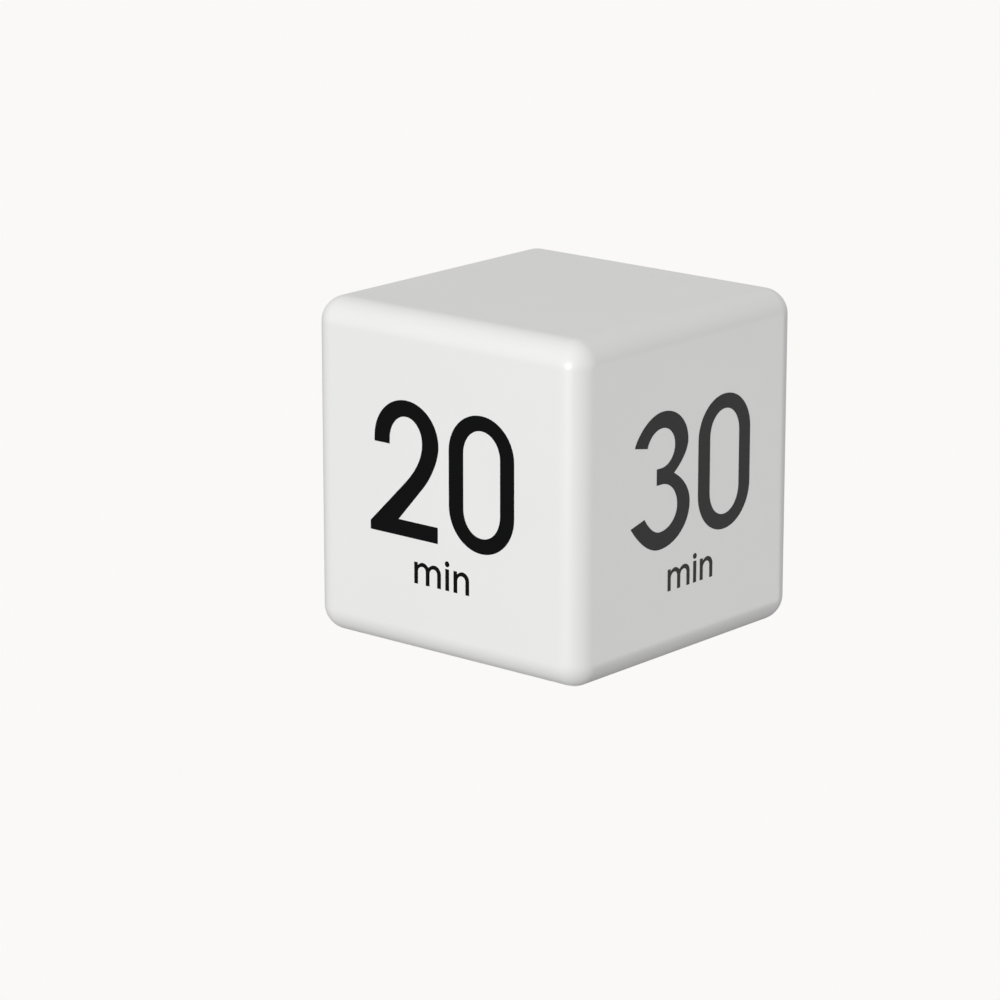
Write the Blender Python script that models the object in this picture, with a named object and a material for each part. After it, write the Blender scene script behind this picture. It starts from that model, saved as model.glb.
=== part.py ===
"""Cube kitchen timer: a 65 mm white cube that is turned so that the wanted minutes are on top.

Frame: metres, +Z up, origin at the middle of the underside. The face with 20 min looks to -Y, the one with
30 min to +X, the one with 60 min to +Y and the one with 15 min to -X. The display shines through the thinned
top wall. The shell and its corner pillars carry the display board. The base cover carries the battery bay,
its hinged door, the two slide switches and the buzzer.
"""

import math

import bmesh
import bpy
from mathutils import Matrix, Vector

# Cube and shell. GAP is the play between neighbours, OVERLAP how far joined and cutting solids run on.
CUBE = 0.065
EDGE_RADIUS = 0.005
EDGE_SEGMENTS = 6
WALL = 0.0025
GAP = 0.0003
OVERLAP = 0.001
HALF = CUBE / 2
CAVITY_HALF = HALF - WALL
CAVITY_TOP = CUBE - WALL

# Corner pillars of the shell, and the screws that hold the base cover to them
PILLAR_INNER = 0.0225
PILLAR_OVERLAP = 0.0003
COVER_SCREW_AT = 0.025
COVER_SCREW_SHAFT = 0.0012
COVER_SCREW_HEAD = 0.0022
COVER_SCREW_HEAD_Z = (0.0006, 0.0018)
COVER_SCREW_TIP = 0.0135

# Cross recess of every screw, its depth as a part of the head's height and its arms as parts of its radius
RECESS_DEPTH = 0.45
RECESS_HALF = (0.6, 0.13)

# Base cover
COVER_TOP = 0.0028
COVER_HALF = CAVITY_HALF - GAP

# Batteries: two AAA cells along X, turned end for end
CELL_RADIUS = 0.00525
CELL_LENGTH = 0.0445
CELL_NIPPLE = (0.0019, 0.001)
CELL_Y = (0.0042, 0.0152)
CELL_Z = 0.00785

# Battery bay in the base cover
BAY_WALL = 0.001
BAY_HALF_X = 0.0254
BAY_Y = (-0.003, 0.0209)
BAY_TOP = 0.0136
TAB_SLOT_HALF_X = 0.0006

# Battery door and its hinge
DOOR_RECESS_HALF_X = 0.0265
DOOR_RECESS_TOP = 0.0022
DOOR_RECESS_END = 0.0215
DOOR_Z = (0.0004, 0.0019)
DOOR_CLEARANCE = 0.0004
HINGE_Y = 0.0226
HINGE_Z = 0.0015
HINGE_HALF_LENGTH = 0.0201
HINGE_RADIUS = 0.0013
HINGE_SLOT_END = 0.0248
HINGE_SLOT_TOP = 0.0034
PIN_RADIUS = 0.0006
PIN_BORE = 0.00085
PIN_BEYOND = 0.002
LATCH_HALF_WIDTH = 0.004
LATCH_INSET = 0.0004
LATCH_THICKNESS = 0.0008
LATCH_TOP = 0.0055
FINGER_NOTCH_HALF_X = 0.005
FINGER_NOTCH_WIDTH = 0.003
FINGER_NOTCH_TOP = 0.0014
FINGER_NOTCH_CORNER = 0.0008

# Battery contacts
CONTACT_PLAY = 0.0002
CONTACT_THICKNESS = 0.0004
CONTACT_X = BAY_HALF_X - CONTACT_PLAY - CONTACT_THICKNESS
CONTACT_Z = (0.0038, 0.0119)
CONTACT_HALF_WIDTH = 0.004
TAB_HALF_WIDTH = 0.001
TAB_TOP = 0.0168
SPRING_WIRE = 0.00025
SPRING_RADII = (0.0034, 0.0018)
SPRING_TURNS = 3.5

# Slide switches: housing centres, their sizes and their travel along X
SWITCH_AT = {"power": (-0.0105, -0.0099), "sound": (-0.0105, -0.0201)}
SWITCH_REST = {"power": -0.001, "sound": 0.0}
SWITCH_HALF = (0.0045, 0.002)
SWITCH_SHELL = 0.0003
SWITCH_Z = (0.0052, 0.0083)
SLIDER_HALF = (0.0015, 0.0012)
STEM_HALF = 0.0008
STEM_BOTTOM = 0.0021
STEM_SLOT_HALF = (0.0032, 0.0011)
CAP_FLANGE_HALF = (0.006, 0.0022)
CAP_FLANGE_Z = (0.0031, 0.0039)
CAP_KNOB_HALF = (0.0022, 0.0014)
SWITCH_PLUG_HEIGHT = 0.0008
SLIDER_PLAY = 0.0002
CAP_BOTTOM = 0.0006
CAP_SLOT_HALF = (0.0047, 0.0018)

# Switch board
SWITCH_BOARD_X = (-0.021, 0.0)
SWITCH_BOARD_Y = (-0.0245, -0.0055)
SWITCH_BOARD_Z = (0.0086, 0.0098)
SWITCH_BOARD_SCREWS = ((-0.0185, -0.015), (-0.0025, -0.015))

# Buzzer over its sound slots
BUZZER_AT = (0.014, -0.0155)
BUZZER_RADIUS = 0.010
BUZZER_RING_TOP = 0.0036
BUZZER_RING_WIDTH = 0.0012
BUZZER_PLAY = 0.0002
BUZZER_DISC_Z = (0.0038, 0.0041)
BUZZER_CERAMIC_RADIUS = 0.007
BUZZER_CERAMIC_Z = (0.0043, 0.0046)
SOUND_SLOT_COUNT = 5
SOUND_SLOT_PITCH = 0.0028
SOUND_SLOT_HALF = (0.0055, 0.0006)

# Main board, hung from the shell's top wall
BOARD_HALF = 0.029
BOARD_NOTCH = 0.0221
BOARD_Z = (0.0537, 0.0553)
BOARD_SCREW_AT = (0.0245, 0.0155)
BOSS_RADIUS = 0.0023
SMALL_SCREW_SHAFT = 0.0008
SMALL_SCREW_HEAD = (0.0015, 0.0011)
SMALL_SCREW_LENGTH = 0.0055
SMALL_SCREW_REACH = 0.0052
SCREW_CLEARANCE = 0.00025
MOUNT_GAP = 0.0002

# What hangs under the main board: centres, half sizes and heights
CONTROLLER_AT = (-0.012, 0.0125)
CONTROLLER_HALF = (0.0065, 0.0038)
DRIVER_AT = (0.0125, 0.0125)
DRIVER_HALF = (0.0051, 0.0038)
CHIP_HEIGHT = 0.0022
CRYSTAL_X = (-0.0155, -0.0095)
CRYSTAL_Y = -0.0085
CRYSTAL_RADIUS = 0.001
CRYSTAL_DROP = 0.0011
CAPACITOR_AT = (-0.0215, 0.0085)
CAPACITOR_RADIUS = 0.0025
CAPACITOR_HEIGHT = 0.0065

# Display
DISPLAY_HALF = (0.02515, 0.0095)
DISPLAY_Z = (0.0556, 0.0636)
WINDOW_HALF = (0.0257, 0.01)
WINDOW_TOP = 0.0641
DIFFUSER_Z = (0.0637, 0.0639)

# Tilt switches: cans lying under the main board, each pointing out from the middle
TILT_START = 0.0125
TILT_LENGTH = 0.010
TILT_RADIUS = 0.0027
TILT_WALL = 0.0004
TILT_Z = BOARD_Z[0] - GAP - TILT_RADIUS
TILT_PLUG = 0.0025
TILT_PLAY = 0.0002
TILT_BALL_RADIUS = 0.0019

# Leads
LEAD_RADIUS = 0.0006
RIBBON_HALF_WIDTH = 0.003
RIBBON_THICKNESS = 0.0008
RIBBON_INSET = 0.0015


# Materials


def material(name, hex_colour, roughness, metallic=0.0):
    """A Principled material with an sRGB colour."""
    found = bpy.data.materials.get(name)
    if found:
        return found
    made = bpy.data.materials.new(name)
    made.use_nodes = True
    shader = made.node_tree.nodes["Principled BSDF"]
    parts = [int(hex_colour[i:i + 2], 16) / 255 for i in (0, 2, 4)]
    linear = [c / 12.92 if c <= 0.04045 else ((c + 0.055) / 1.055) ** 2.4 for c in parts]
    shader.inputs["Base Color"].default_value = (*linear, 1.0)
    shader.inputs["Roughness"].default_value = roughness
    shader.inputs["Metallic"].default_value = metallic
    return made


def white_abs():
    return material("white_abs", "EDEDEB", 0.55)


def black_plastic():
    return material("black_plastic", "1B1B1C", 0.5)


def grey_plastic():
    return material("grey_plastic", "3A3B3E", 0.5)


def circuit_board():
    return material("circuit_board", "1F5B33", 0.45)


def nickel():
    return material("nickel_plate", "C6C5C0", 0.28, 1.0)


def zinc():
    return material("zinc_screw", "A9ABAD", 0.35, 1.0)


def brass():
    return material("brass", "C9A24D", 0.3, 1.0)


def ceramic():
    return material("piezo_ceramic", "D8D6CC", 0.4)


def film():
    return material("diffuser_film", "E6E8EA", 0.6)


def cell_wrap():
    return material("cell_wrap", "3F6E8C", 0.35)


def wire_red():
    return material("wire_red", "B3201E", 0.45)


def wire_black():
    return material("wire_black", "161616", 0.45)


def ribbon_grey():
    return material("ribbon_grey", "9A9C9F", 0.5)


# Shape helpers


def place_object(name, bm, look):
    """Makes the object for a finished bmesh, with its shading and material."""
    bmesh.ops.recalc_face_normals(bm, faces=bm.faces)
    mesh = bpy.data.meshes.new(name)
    bm.to_mesh(mesh)
    bm.free()
    obj = bpy.data.objects.new(name, mesh)
    bpy.context.scene.collection.objects.link(obj)
    if look:
        mesh.materials.append(look)
    mesh.shade_smooth()
    mesh.set_sharp_from_angle(angle=math.radians(40))
    return obj


def box_mesh(x, y, z, corner=0.0, corner_segments=3):
    """A block between two limits on each axis, with its upright edges rounded to corner."""
    bm = bmesh.new()
    size = Vector((x[1] - x[0], y[1] - y[0], z[1] - z[0]))
    middle = Vector((sum(x), sum(y), sum(z))) / 2
    place = Matrix.Translation(middle) @ Matrix.Diagonal((*size, 1))
    bmesh.ops.create_cube(bm, size=1.0, matrix=place)
    if corner:
        upright = [e for e in bm.edges if abs(e.verts[0].co.z - e.verts[1].co.z) > size.z / 2]
        bmesh.ops.bevel(
            bm, geom=upright, offset=corner, segments=corner_segments, affect="EDGES", profile=0.5)
    return bm


def rod_mesh(start, end, radius, sides=16):
    """A round bar from start to end."""
    bm = bmesh.new()
    start, end = Vector(start), Vector(end)
    along = end - start
    turn = along.to_track_quat("Z", "Y").to_matrix().to_4x4()
    bmesh.ops.create_cone(
        bm, cap_ends=True, segments=sides, radius1=radius, radius2=radius, depth=along.length,
        matrix=Matrix.Translation((start + end) / 2) @ turn)
    return bm


def around(centre, half):
    """Limits on one axis from a centre and a half size."""
    return (centre - half, centre + half)


def boolean(obj, kind, bm):
    """Adds a Boolean on obj with a hidden solid made from bm."""
    tool = place_object(obj.name + "_" + kind.lower(), bm, None)
    tool.hide_render = True
    tool.display_type = "WIRE"
    change = obj.modifiers.new(kind.capitalize(), "BOOLEAN")
    change.operation = kind
    change.solver = "EXACT"
    change.object = tool


def cut(obj, bm):
    boolean(obj, "DIFFERENCE", bm)


def join(obj, bm):
    boolean(obj, "UNION", bm)


def tube(name, points, radius, look, resolution=2):
    """A lead or wire along points."""
    curve = bpy.data.curves.new(name, "CURVE")
    curve.dimensions = "3D"
    curve.bevel_depth = radius
    curve.bevel_resolution = resolution
    curve.use_fill_caps = True
    spline = curve.splines.new("POLY")
    spline.points.add(len(points) - 1)
    for spot, point in zip(spline.points, points):
        spot.co = (*point, 1.0)
    curve.materials.append(look)
    obj = bpy.data.objects.new(name, curve)
    bpy.context.scene.collection.objects.link(obj)
    return obj


def smooth_route(knots, steps=5):
    """Points on a smooth curve through the knots."""
    knots = [Vector(k) for k in knots]
    padded = [2 * knots[0] - knots[1], *knots, 2 * knots[-1] - knots[-2]]
    route = []
    for a, b, c, d in zip(padded, padded[1:], padded[2:], padded[3:]):
        for step in range(steps):
            t = step / steps
            route.append(0.5 * (2 * b + (c - a) * t + (2 * a - 5 * b + 4 * c - d) * t ** 2
                                + (3 * b - 3 * c + d - a) * t ** 3))
    return [*route, knots[-1]]


def pivot(name, at):
    """An empty on a joint's axis."""
    empty = bpy.data.objects.new(name, None)
    empty.location = at
    bpy.context.scene.collection.objects.link(empty)
    return empty


def hang_on(obj, parent):
    """Parents obj without moving it."""
    obj.parent = parent
    obj.matrix_parent_inverse = Matrix.Translation(-parent.location)


# Casing


def rounded_cube():
    bm = box_mesh((-HALF, HALF), (-HALF, HALF), (0, CUBE))
    bmesh.ops.bevel(
        bm, geom=bm.edges[:], offset=EDGE_RADIUS, segments=EDGE_SEGMENTS, affect="EDGES", profile=0.5)
    return bm


def outer_shell():
    shell = place_object("outer_shell", rounded_cube(), white_abs())
    inside = (-CAVITY_HALF, CAVITY_HALF)
    cut(shell, box_mesh(inside, inside, (-2 * OVERLAP, CAVITY_TOP), EDGE_RADIUS - WALL))
    for sx in (-1, 1):
        for sy in (-1, 1):
            x = sorted((sx * PILLAR_INNER, sx * (CAVITY_HALF + PILLAR_OVERLAP)))
            y = sorted((sy * PILLAR_INNER, sy * (CAVITY_HALF + PILLAR_OVERLAP)))
            join(shell, box_mesh(x, y, (COVER_TOP + GAP, CAVITY_TOP + PILLAR_OVERLAP)))
            centre = (sx * COVER_SCREW_AT, sy * COVER_SCREW_AT)
            bore = COVER_SCREW_SHAFT + SCREW_CLEARANCE
            cut(shell, rod_mesh((*centre, OVERLAP), (*centre, COVER_SCREW_TIP + GAP), bore, sides=12))
            boss = (sx * BOARD_SCREW_AT[0], sy * BOARD_SCREW_AT[1])
            join(shell, rod_mesh((*boss, BOARD_Z[1] + GAP), (*boss, CAVITY_TOP + OVERLAP), BOSS_RADIUS))
            pilot = SMALL_SCREW_SHAFT + SCREW_CLEARANCE
            tip = BOARD_Z[0] + SMALL_SCREW_LENGTH
            cut(shell, rod_mesh((*boss, BOARD_Z[0]), (*boss, tip), pilot, sides=10))
    window_x, window_y = around(0, WINDOW_HALF[0]), around(0, WINDOW_HALF[1])
    cut(shell, box_mesh(window_x, window_y, (CAVITY_TOP - OVERLAP, WINDOW_TOP)))


def base_cover():
    cover = place_object("base_cover", rounded_cube(), white_abs())
    across = (-COVER_HALF, COVER_HALF)
    corner = EDGE_RADIUS - WALL - GAP
    boolean(cover, "INTERSECT", box_mesh(across, across, (-OVERLAP, COVER_TOP), corner))
    bay_x = around(0, BAY_HALF_X + BAY_WALL)
    bay_y = (BAY_Y[0] - BAY_WALL, BAY_Y[1] + BAY_WALL)
    join(cover, box_mesh(bay_x, bay_y, (COVER_TOP - OVERLAP, BAY_TOP + BAY_WALL)))
    cut(cover, box_mesh((-BAY_HALF_X, BAY_HALF_X), BAY_Y, (-OVERLAP, BAY_TOP)))
    recess_x = (-DOOR_RECESS_HALF_X, DOOR_RECESS_HALF_X)
    recess_y = (BAY_Y[0] - 0.0001, DOOR_RECESS_END)
    cut(cover, box_mesh(recess_x, recess_y, (-OVERLAP, DOOR_RECESS_TOP)))
    notch_y = (BAY_Y[0] - FINGER_NOTCH_WIDTH, BAY_Y[0] + OVERLAP / 2)
    notch_z = (-OVERLAP, FINGER_NOTCH_TOP)
    cut(cover, box_mesh(around(0, FINGER_NOTCH_HALF_X), notch_y, notch_z, FINGER_NOTCH_CORNER))
    hinge_x = around(0, HINGE_HALF_LENGTH + GAP)
    hinge_y = (BAY_Y[1] - OVERLAP, HINGE_SLOT_END)
    cut(cover, box_mesh(hinge_x, hinge_y, (-OVERLAP, HINGE_SLOT_TOP)))
    bore_start = -HINGE_HALF_LENGTH - PIN_BEYOND - OVERLAP / 2
    cut(cover, rod_mesh((bore_start, HINGE_Y, HINGE_Z), (HALF, HINGE_Y, HINGE_Z), PIN_BORE, sides=12))
    for sx in (-1, 1):
        for sy in (-1, 1):
            centre = (sx * COVER_SCREW_AT, sy * COVER_SCREW_AT)
            seat = COVER_SCREW_HEAD_Z[1] + SCREW_CLEARANCE
            head, shaft = COVER_SCREW_HEAD + SCREW_CLEARANCE, COVER_SCREW_SHAFT + SCREW_CLEARANCE
            cut(cover, rod_mesh((*centre, -OVERLAP), (*centre, seat), head, sides=20))
            cut(cover, rod_mesh((*centre, 0), (*centre, 5 * OVERLAP), shaft, sides=12))
    slot_x = around(-CONTACT_X - CONTACT_THICKNESS / 2, TAB_SLOT_HALF_X)
    slot_z = (BAY_TOP - OVERLAP, BAY_TOP + BAY_WALL + OVERLAP)
    for name in ("positive", "negative"):
        cut(cover, box_mesh(slot_x, around(contact_y(name), TAB_HALF_WIDTH + GAP), slot_z))
    through = (-OVERLAP, 5 * OVERLAP)
    for x, y in SWITCH_AT.values():
        cut(cover, box_mesh(around(x, CAP_SLOT_HALF[0]), around(y, CAP_SLOT_HALF[1]), through))
    for x, y in SWITCH_BOARD_SCREWS:
        join(cover, rod_mesh((x, y, COVER_TOP - OVERLAP), (x, y, SWITCH_BOARD_Z[0] - GAP), BOSS_RADIUS))
        pilot = SMALL_SCREW_SHAFT + SCREW_CLEARANCE
        top = SWITCH_BOARD_Z[1]
        cut(cover, rod_mesh((x, y, top - SMALL_SCREW_LENGTH), (x, y, top), pilot, sides=10))
    ring = ((*BUZZER_AT, COVER_TOP - OVERLAP), (*BUZZER_AT, BUZZER_RING_TOP))
    join(cover, rod_mesh(*ring, BUZZER_RADIUS, sides=28))
    well = ((*BUZZER_AT, COVER_TOP), (*BUZZER_AT, 6 * OVERLAP))
    cut(cover, rod_mesh(*well, BUZZER_RADIUS - BUZZER_RING_WIDTH, sides=28))
    for i in range(SOUND_SLOT_COUNT):
        y = BUZZER_AT[1] + (i - (SOUND_SLOT_COUNT - 1) / 2) * SOUND_SLOT_PITCH
        slot_x, slot_y = around(BUZZER_AT[0], SOUND_SLOT_HALF[0]), around(y, SOUND_SLOT_HALF[1])
        cut(cover, box_mesh(slot_x, slot_y, through))


def battery_door():
    axis = pivot("battery_door_axis", (0, HINGE_Y, HINGE_Z))
    plate_x = around(0, DOOR_RECESS_HALF_X - DOOR_CLEARANCE)
    plate_y = (BAY_Y[0] + DOOR_CLEARANCE, BAY_Y[1] - DOOR_CLEARANCE)
    door = place_object("battery_door", box_mesh(plate_x, plate_y, DOOR_Z), white_abs())
    barrel_x = around(0, HINGE_HALF_LENGTH)
    join(door, box_mesh(barrel_x, (plate_y[1] - OVERLAP, HINGE_Y), DOOR_Z))
    join(door, rod_mesh((barrel_x[0], HINGE_Y, HINGE_Z), (barrel_x[1], HINGE_Y, HINGE_Z), HINGE_RADIUS))
    cut(door, rod_mesh((-HALF, HINGE_Y, HINGE_Z), (HALF, HINGE_Y, HINGE_Z), PIN_BORE, sides=12))
    latch_y = (plate_y[0] + LATCH_INSET, plate_y[0] + LATCH_INSET + LATCH_THICKNESS)
    join(door, box_mesh(around(0, LATCH_HALF_WIDTH), latch_y, (DOOR_Z[1] - OVERLAP / 2, LATCH_TOP)))
    hang_on(door, axis)


def door_hinge_pin():
    end = HINGE_HALF_LENGTH + PIN_BEYOND
    pin = rod_mesh((-end, HINGE_Y, HINGE_Z), (end, HINGE_Y, HINGE_Z), PIN_RADIUS, sides=10)
    place_object("door_hinge_pin", pin, nickel())


# Fasteners


def screw(name, at, up, shaft_radius, head_radius, head_height, length):
    """A pan-head screw with its head's underside at the point at, pointing along up (+1 or -1 on Z)."""
    x, y, z = at
    head = rod_mesh((x, y, z - up * head_height), (x, y, z), head_radius, sides=14)
    obj = place_object(name, head, zinc())
    join(obj, rod_mesh((x, y, z - up * head_height / 2), (x, y, z + up * length), shaft_radius, sides=10))
    floor = head_height * (1 - RECESS_DEPTH)
    long, narrow = head_radius * RECESS_HALF[0], head_radius * RECESS_HALF[1]
    for half_x, half_y in ((long, narrow), (narrow, long)):
        z_limits = sorted((z - up * floor, z - up * (head_height + OVERLAP)))
        cut(obj, box_mesh(around(x, half_x), around(y, half_y), z_limits))


def cover_screws():
    head_height = COVER_SCREW_HEAD_Z[1] - COVER_SCREW_HEAD_Z[0]
    length = COVER_SCREW_TIP - COVER_SCREW_HEAD_Z[1]
    corners = ((-1, -1), (1, -1), (1, 1), (-1, 1))
    for number, (sx, sy) in enumerate(corners, 1):
        at = (sx * COVER_SCREW_AT, sy * COVER_SCREW_AT, COVER_SCREW_HEAD_Z[1])
        screw(f"cover_screw_{number}", at, 1, COVER_SCREW_SHAFT, COVER_SCREW_HEAD, head_height, length)


def board_screws():
    head_radius, head_height = SMALL_SCREW_HEAD
    corners = ((-1, -1), (1, -1), (1, 1), (-1, 1))
    sizes = (SMALL_SCREW_SHAFT, head_radius, head_height, SMALL_SCREW_REACH)
    for number, (sx, sy) in enumerate(corners, 1):
        at = (sx * BOARD_SCREW_AT[0], sy * BOARD_SCREW_AT[1], BOARD_Z[0] - MOUNT_GAP)
        screw(f"board_screw_{number}", at, 1, *sizes)
    for number, (x, y) in enumerate(SWITCH_BOARD_SCREWS, 1):
        at = (x, y, SWITCH_BOARD_Z[1] + MOUNT_GAP)
        screw(f"switch_board_screw_{number}", at, -1, *sizes)


# Batteries and contacts


def contact_y(name):
    return CELL_Y[0] if name == "negative" else CELL_Y[1]


def battery(name, y, way):
    """An AAA cell whose plus end points along way (+1 or -1 on X), against its contact."""
    tip = way * (CONTACT_X - CONTACT_PLAY)
    shoulder = tip - way * CELL_NIPPLE[1]
    can = rod_mesh((tip - way * CELL_LENGTH, y, CELL_Z), (shoulder, y, CELL_Z), CELL_RADIUS, sides=24)
    obj = place_object(name, can, cell_wrap())
    join(obj, rod_mesh((shoulder - way * OVERLAP, y, CELL_Z), (tip, y, CELL_Z), CELL_NIPPLE[0], sides=14))


def contact_plate(name, side, y_limits, tab_y=None):
    """A spring-steel plate standing at the bay's end wall, with a solder tab up through the bay roof."""
    inner, outer = CONTACT_X, CONTACT_X + CONTACT_THICKNESS
    x = sorted((side * inner, side * outer))
    obj = place_object(name, box_mesh(x, y_limits, CONTACT_Z), nickel())
    if tab_y is not None:
        join(obj, box_mesh(x, around(tab_y, TAB_HALF_WIDTH), (CONTACT_Z[1] - OVERLAP, TAB_TOP)))


def contact_spring(name, side, y):
    """A conical coil from the contact plate to the cell's flat end."""
    base = side * (CONTACT_X - SPRING_WIRE - CONTACT_PLAY)
    cell_end = side * (CELL_LENGTH - CONTACT_X + CONTACT_PLAY)
    tip = cell_end + side * (SPRING_WIRE + CONTACT_PLAY)
    count = int(SPRING_TURNS * 12)
    points = []
    for i in range(count + 1):
        t = i / count
        angle = t * SPRING_TURNS * math.tau
        radius = SPRING_RADII[0] + (SPRING_RADII[1] - SPRING_RADII[0]) * t
        x = base + (tip - base) * t
        points.append((x, y + radius * math.cos(angle), CELL_Z + radius * math.sin(angle)))
    tube(name, points, SPRING_WIRE, nickel(), resolution=0)


def batteries_and_contacts():
    battery("battery_a", CELL_Y[0], 1)
    battery("battery_b", CELL_Y[1], -1)
    edge = CONTACT_HALF_WIDTH
    contact_plate("bridge_contact", 1, (CELL_Y[0] - edge, CELL_Y[1] + edge))
    contact_plate("negative_contact", -1, around(CELL_Y[0], edge), contact_y("negative"))
    contact_plate("positive_contact", -1, around(CELL_Y[1], edge), contact_y("positive"))
    contact_spring("bridge_spring", 1, CELL_Y[1])
    contact_spring("negative_spring", -1, CELL_Y[0])


# Slide switches


def slide_switch(kind):
    x, y = SWITCH_AT[kind]
    rest = x + SWITCH_REST[kind]
    low, high = SWITCH_Z
    housing = box_mesh(around(x, SWITCH_HALF[0]), around(y, SWITCH_HALF[1]), SWITCH_Z)
    frame = place_object(f"{kind}_switch_frame", housing, nickel())
    inner = (SWITCH_HALF[0] - SWITCH_SHELL, SWITCH_HALF[1] - SWITCH_SHELL)
    cut(frame, box_mesh(around(x, inner[0]), around(y, inner[1]), (low + SWITCH_SHELL, high + OVERLAP)))
    slot_x, slot_y = around(x, STEM_SLOT_HALF[0]), around(y, STEM_SLOT_HALF[1])
    cut(frame, box_mesh(slot_x, slot_y, (low - OVERLAP, low + OVERLAP)))
    plug_x, plug_y = around(x, inner[0] - GAP / 2), around(y, inner[1] - GAP / 2)
    plug = box_mesh(plug_x, plug_y, (high - SWITCH_PLUG_HEIGHT, high))
    place_object(f"{kind}_switch_base", plug, black_plastic())

    axis = pivot(f"{kind}_switch_slide", (rest, y, CAP_FLANGE_Z[0]))
    slider_x, slider_y = around(rest, SLIDER_HALF[0]), around(y, SLIDER_HALF[1])
    slider_z = (low + SWITCH_SHELL + SLIDER_PLAY, high - SWITCH_PLUG_HEIGHT - GAP)
    slider = box_mesh(slider_x, slider_y, slider_z)
    actuator = place_object(f"{kind}_switch_actuator", slider, black_plastic())
    stem_x, stem_y = around(rest, STEM_HALF), around(y, STEM_HALF)
    join(actuator, box_mesh(stem_x, stem_y, (STEM_BOTTOM, slider_z[0] + OVERLAP / 2)))
    hang_on(actuator, axis)

    flange_x, flange_y = around(rest, CAP_FLANGE_HALF[0]), around(y, CAP_FLANGE_HALF[1])
    cap = place_object(f"{kind}_switch_cap", box_mesh(flange_x, flange_y, CAP_FLANGE_Z), grey_plastic())
    knob_x, knob_y = around(rest, CAP_KNOB_HALF[0]), around(y, CAP_KNOB_HALF[1])
    join(cap, box_mesh(knob_x, knob_y, (CAP_BOTTOM, CAP_FLANGE_Z[0] + SLIDER_PLAY * 2)))
    socket = STEM_HALF + SLIDER_PLAY
    socket_z = (STEM_BOTTOM - SLIDER_PLAY, CAP_FLANGE_Z[1] + OVERLAP)
    cut(cap, box_mesh(around(rest, socket), around(y, socket), socket_z))
    hang_on(cap, axis)


def switch_board():
    panel = box_mesh(SWITCH_BOARD_X, SWITCH_BOARD_Y, SWITCH_BOARD_Z)
    board = place_object("switch_board", panel, circuit_board())
    low, high = SWITCH_BOARD_Z
    hole = SMALL_SCREW_SHAFT + SCREW_CLEARANCE
    for x, y in SWITCH_BOARD_SCREWS:
        cut(board, rod_mesh((x, y, low - OVERLAP), (x, y, high + OVERLAP), hole, sides=12))


# Buzzer


def buzzer():
    for name, radius, limits, look in (
            ("buzzer_disc", BUZZER_RADIUS - BUZZER_PLAY, BUZZER_DISC_Z, brass()),
            ("buzzer_ceramic", BUZZER_CERAMIC_RADIUS, BUZZER_CERAMIC_Z, ceramic())):
        disc = rod_mesh((*BUZZER_AT, limits[0]), (*BUZZER_AT, limits[1]), radius, sides=28)
        place_object(name, disc, look)


# Main board and what it carries


def main_board():
    whole = (-BOARD_HALF, BOARD_HALF)
    board = place_object("main_board", box_mesh(whole, whole, BOARD_Z), circuit_board())
    beyond = (BOARD_Z[0] - OVERLAP, BOARD_Z[1] + OVERLAP)
    for sx in (-1, 1):
        for sy in (-1, 1):
            x = sorted((sx * BOARD_NOTCH, sx * HALF))
            y = sorted((sy * BOARD_NOTCH, sy * HALF))
            cut(board, box_mesh(x, y, beyond))
            at = (sx * BOARD_SCREW_AT[0], sy * BOARD_SCREW_AT[1])
            hole = SMALL_SCREW_SHAFT + SCREW_CLEARANCE
            cut(board, rod_mesh((*at, beyond[0]), (*at, beyond[1]), hole, sides=12))


def display():
    x, y = around(0, DISPLAY_HALF[0]), around(0, DISPLAY_HALF[1])
    place_object("led_display", box_mesh(x, y, DISPLAY_Z), black_plastic())
    place_object("display_diffuser", box_mesh(x, y, DIFFUSER_Z), film())


def chip(name, centre, half):
    """A chip package on the board's underside."""
    top = BOARD_Z[0] - MOUNT_GAP
    package = box_mesh(around(centre[0], half[0]), around(centre[1], half[1]), (top - CHIP_HEIGHT, top))
    place_object(name, package, black_plastic())


def components():
    chip("controller_chip", CONTROLLER_AT, CONTROLLER_HALF)
    chip("display_driver_chip", DRIVER_AT, DRIVER_HALF)
    top = BOARD_Z[0] - MOUNT_GAP
    ends = [(x, CRYSTAL_Y, top - CRYSTAL_DROP) for x in CRYSTAL_X]
    place_object("clock_crystal", rod_mesh(*ends, CRYSTAL_RADIUS, sides=12), nickel())
    can = rod_mesh((*CAPACITOR_AT, top - CAPACITOR_HEIGHT), (*CAPACITOR_AT, top), CAPACITOR_RADIUS, sides=20)
    place_object("supply_capacitor", can, black_plastic())


def tilt_switch(number, turns):
    """A can lying under the board, its closed end outwards, its plug inwards and its ball between them."""
    turn = Matrix.Rotation(turns * math.pi / 2, 4, "Z")

    def along(distance):
        return turn @ Vector((distance, 0, TILT_Z))

    outer_end = TILT_START + TILT_LENGTH
    outside = rod_mesh(along(TILT_START), along(outer_end), TILT_RADIUS, sides=20)
    can = place_object(f"tilt_can_{number}", outside, nickel())
    bore = TILT_RADIUS - TILT_WALL
    cut(can, rod_mesh(along(TILT_START - OVERLAP), along(outer_end - TILT_WALL), bore, sides=20))
    plug = rod_mesh(along(TILT_START), along(TILT_START + TILT_PLUG), bore - TILT_PLAY, sides=20)
    place_object(f"tilt_base_{number}", plug, black_plastic())
    middle = (TILT_START + TILT_PLUG + outer_end - TILT_WALL) / 2
    bm = bmesh.new()
    bmesh.ops.create_icosphere(bm, subdivisions=2, radius=TILT_BALL_RADIUS)
    ball = place_object(f"tilt_ball_{number}", bm, brass())
    ball.location = along(middle)


# Leads


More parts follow.
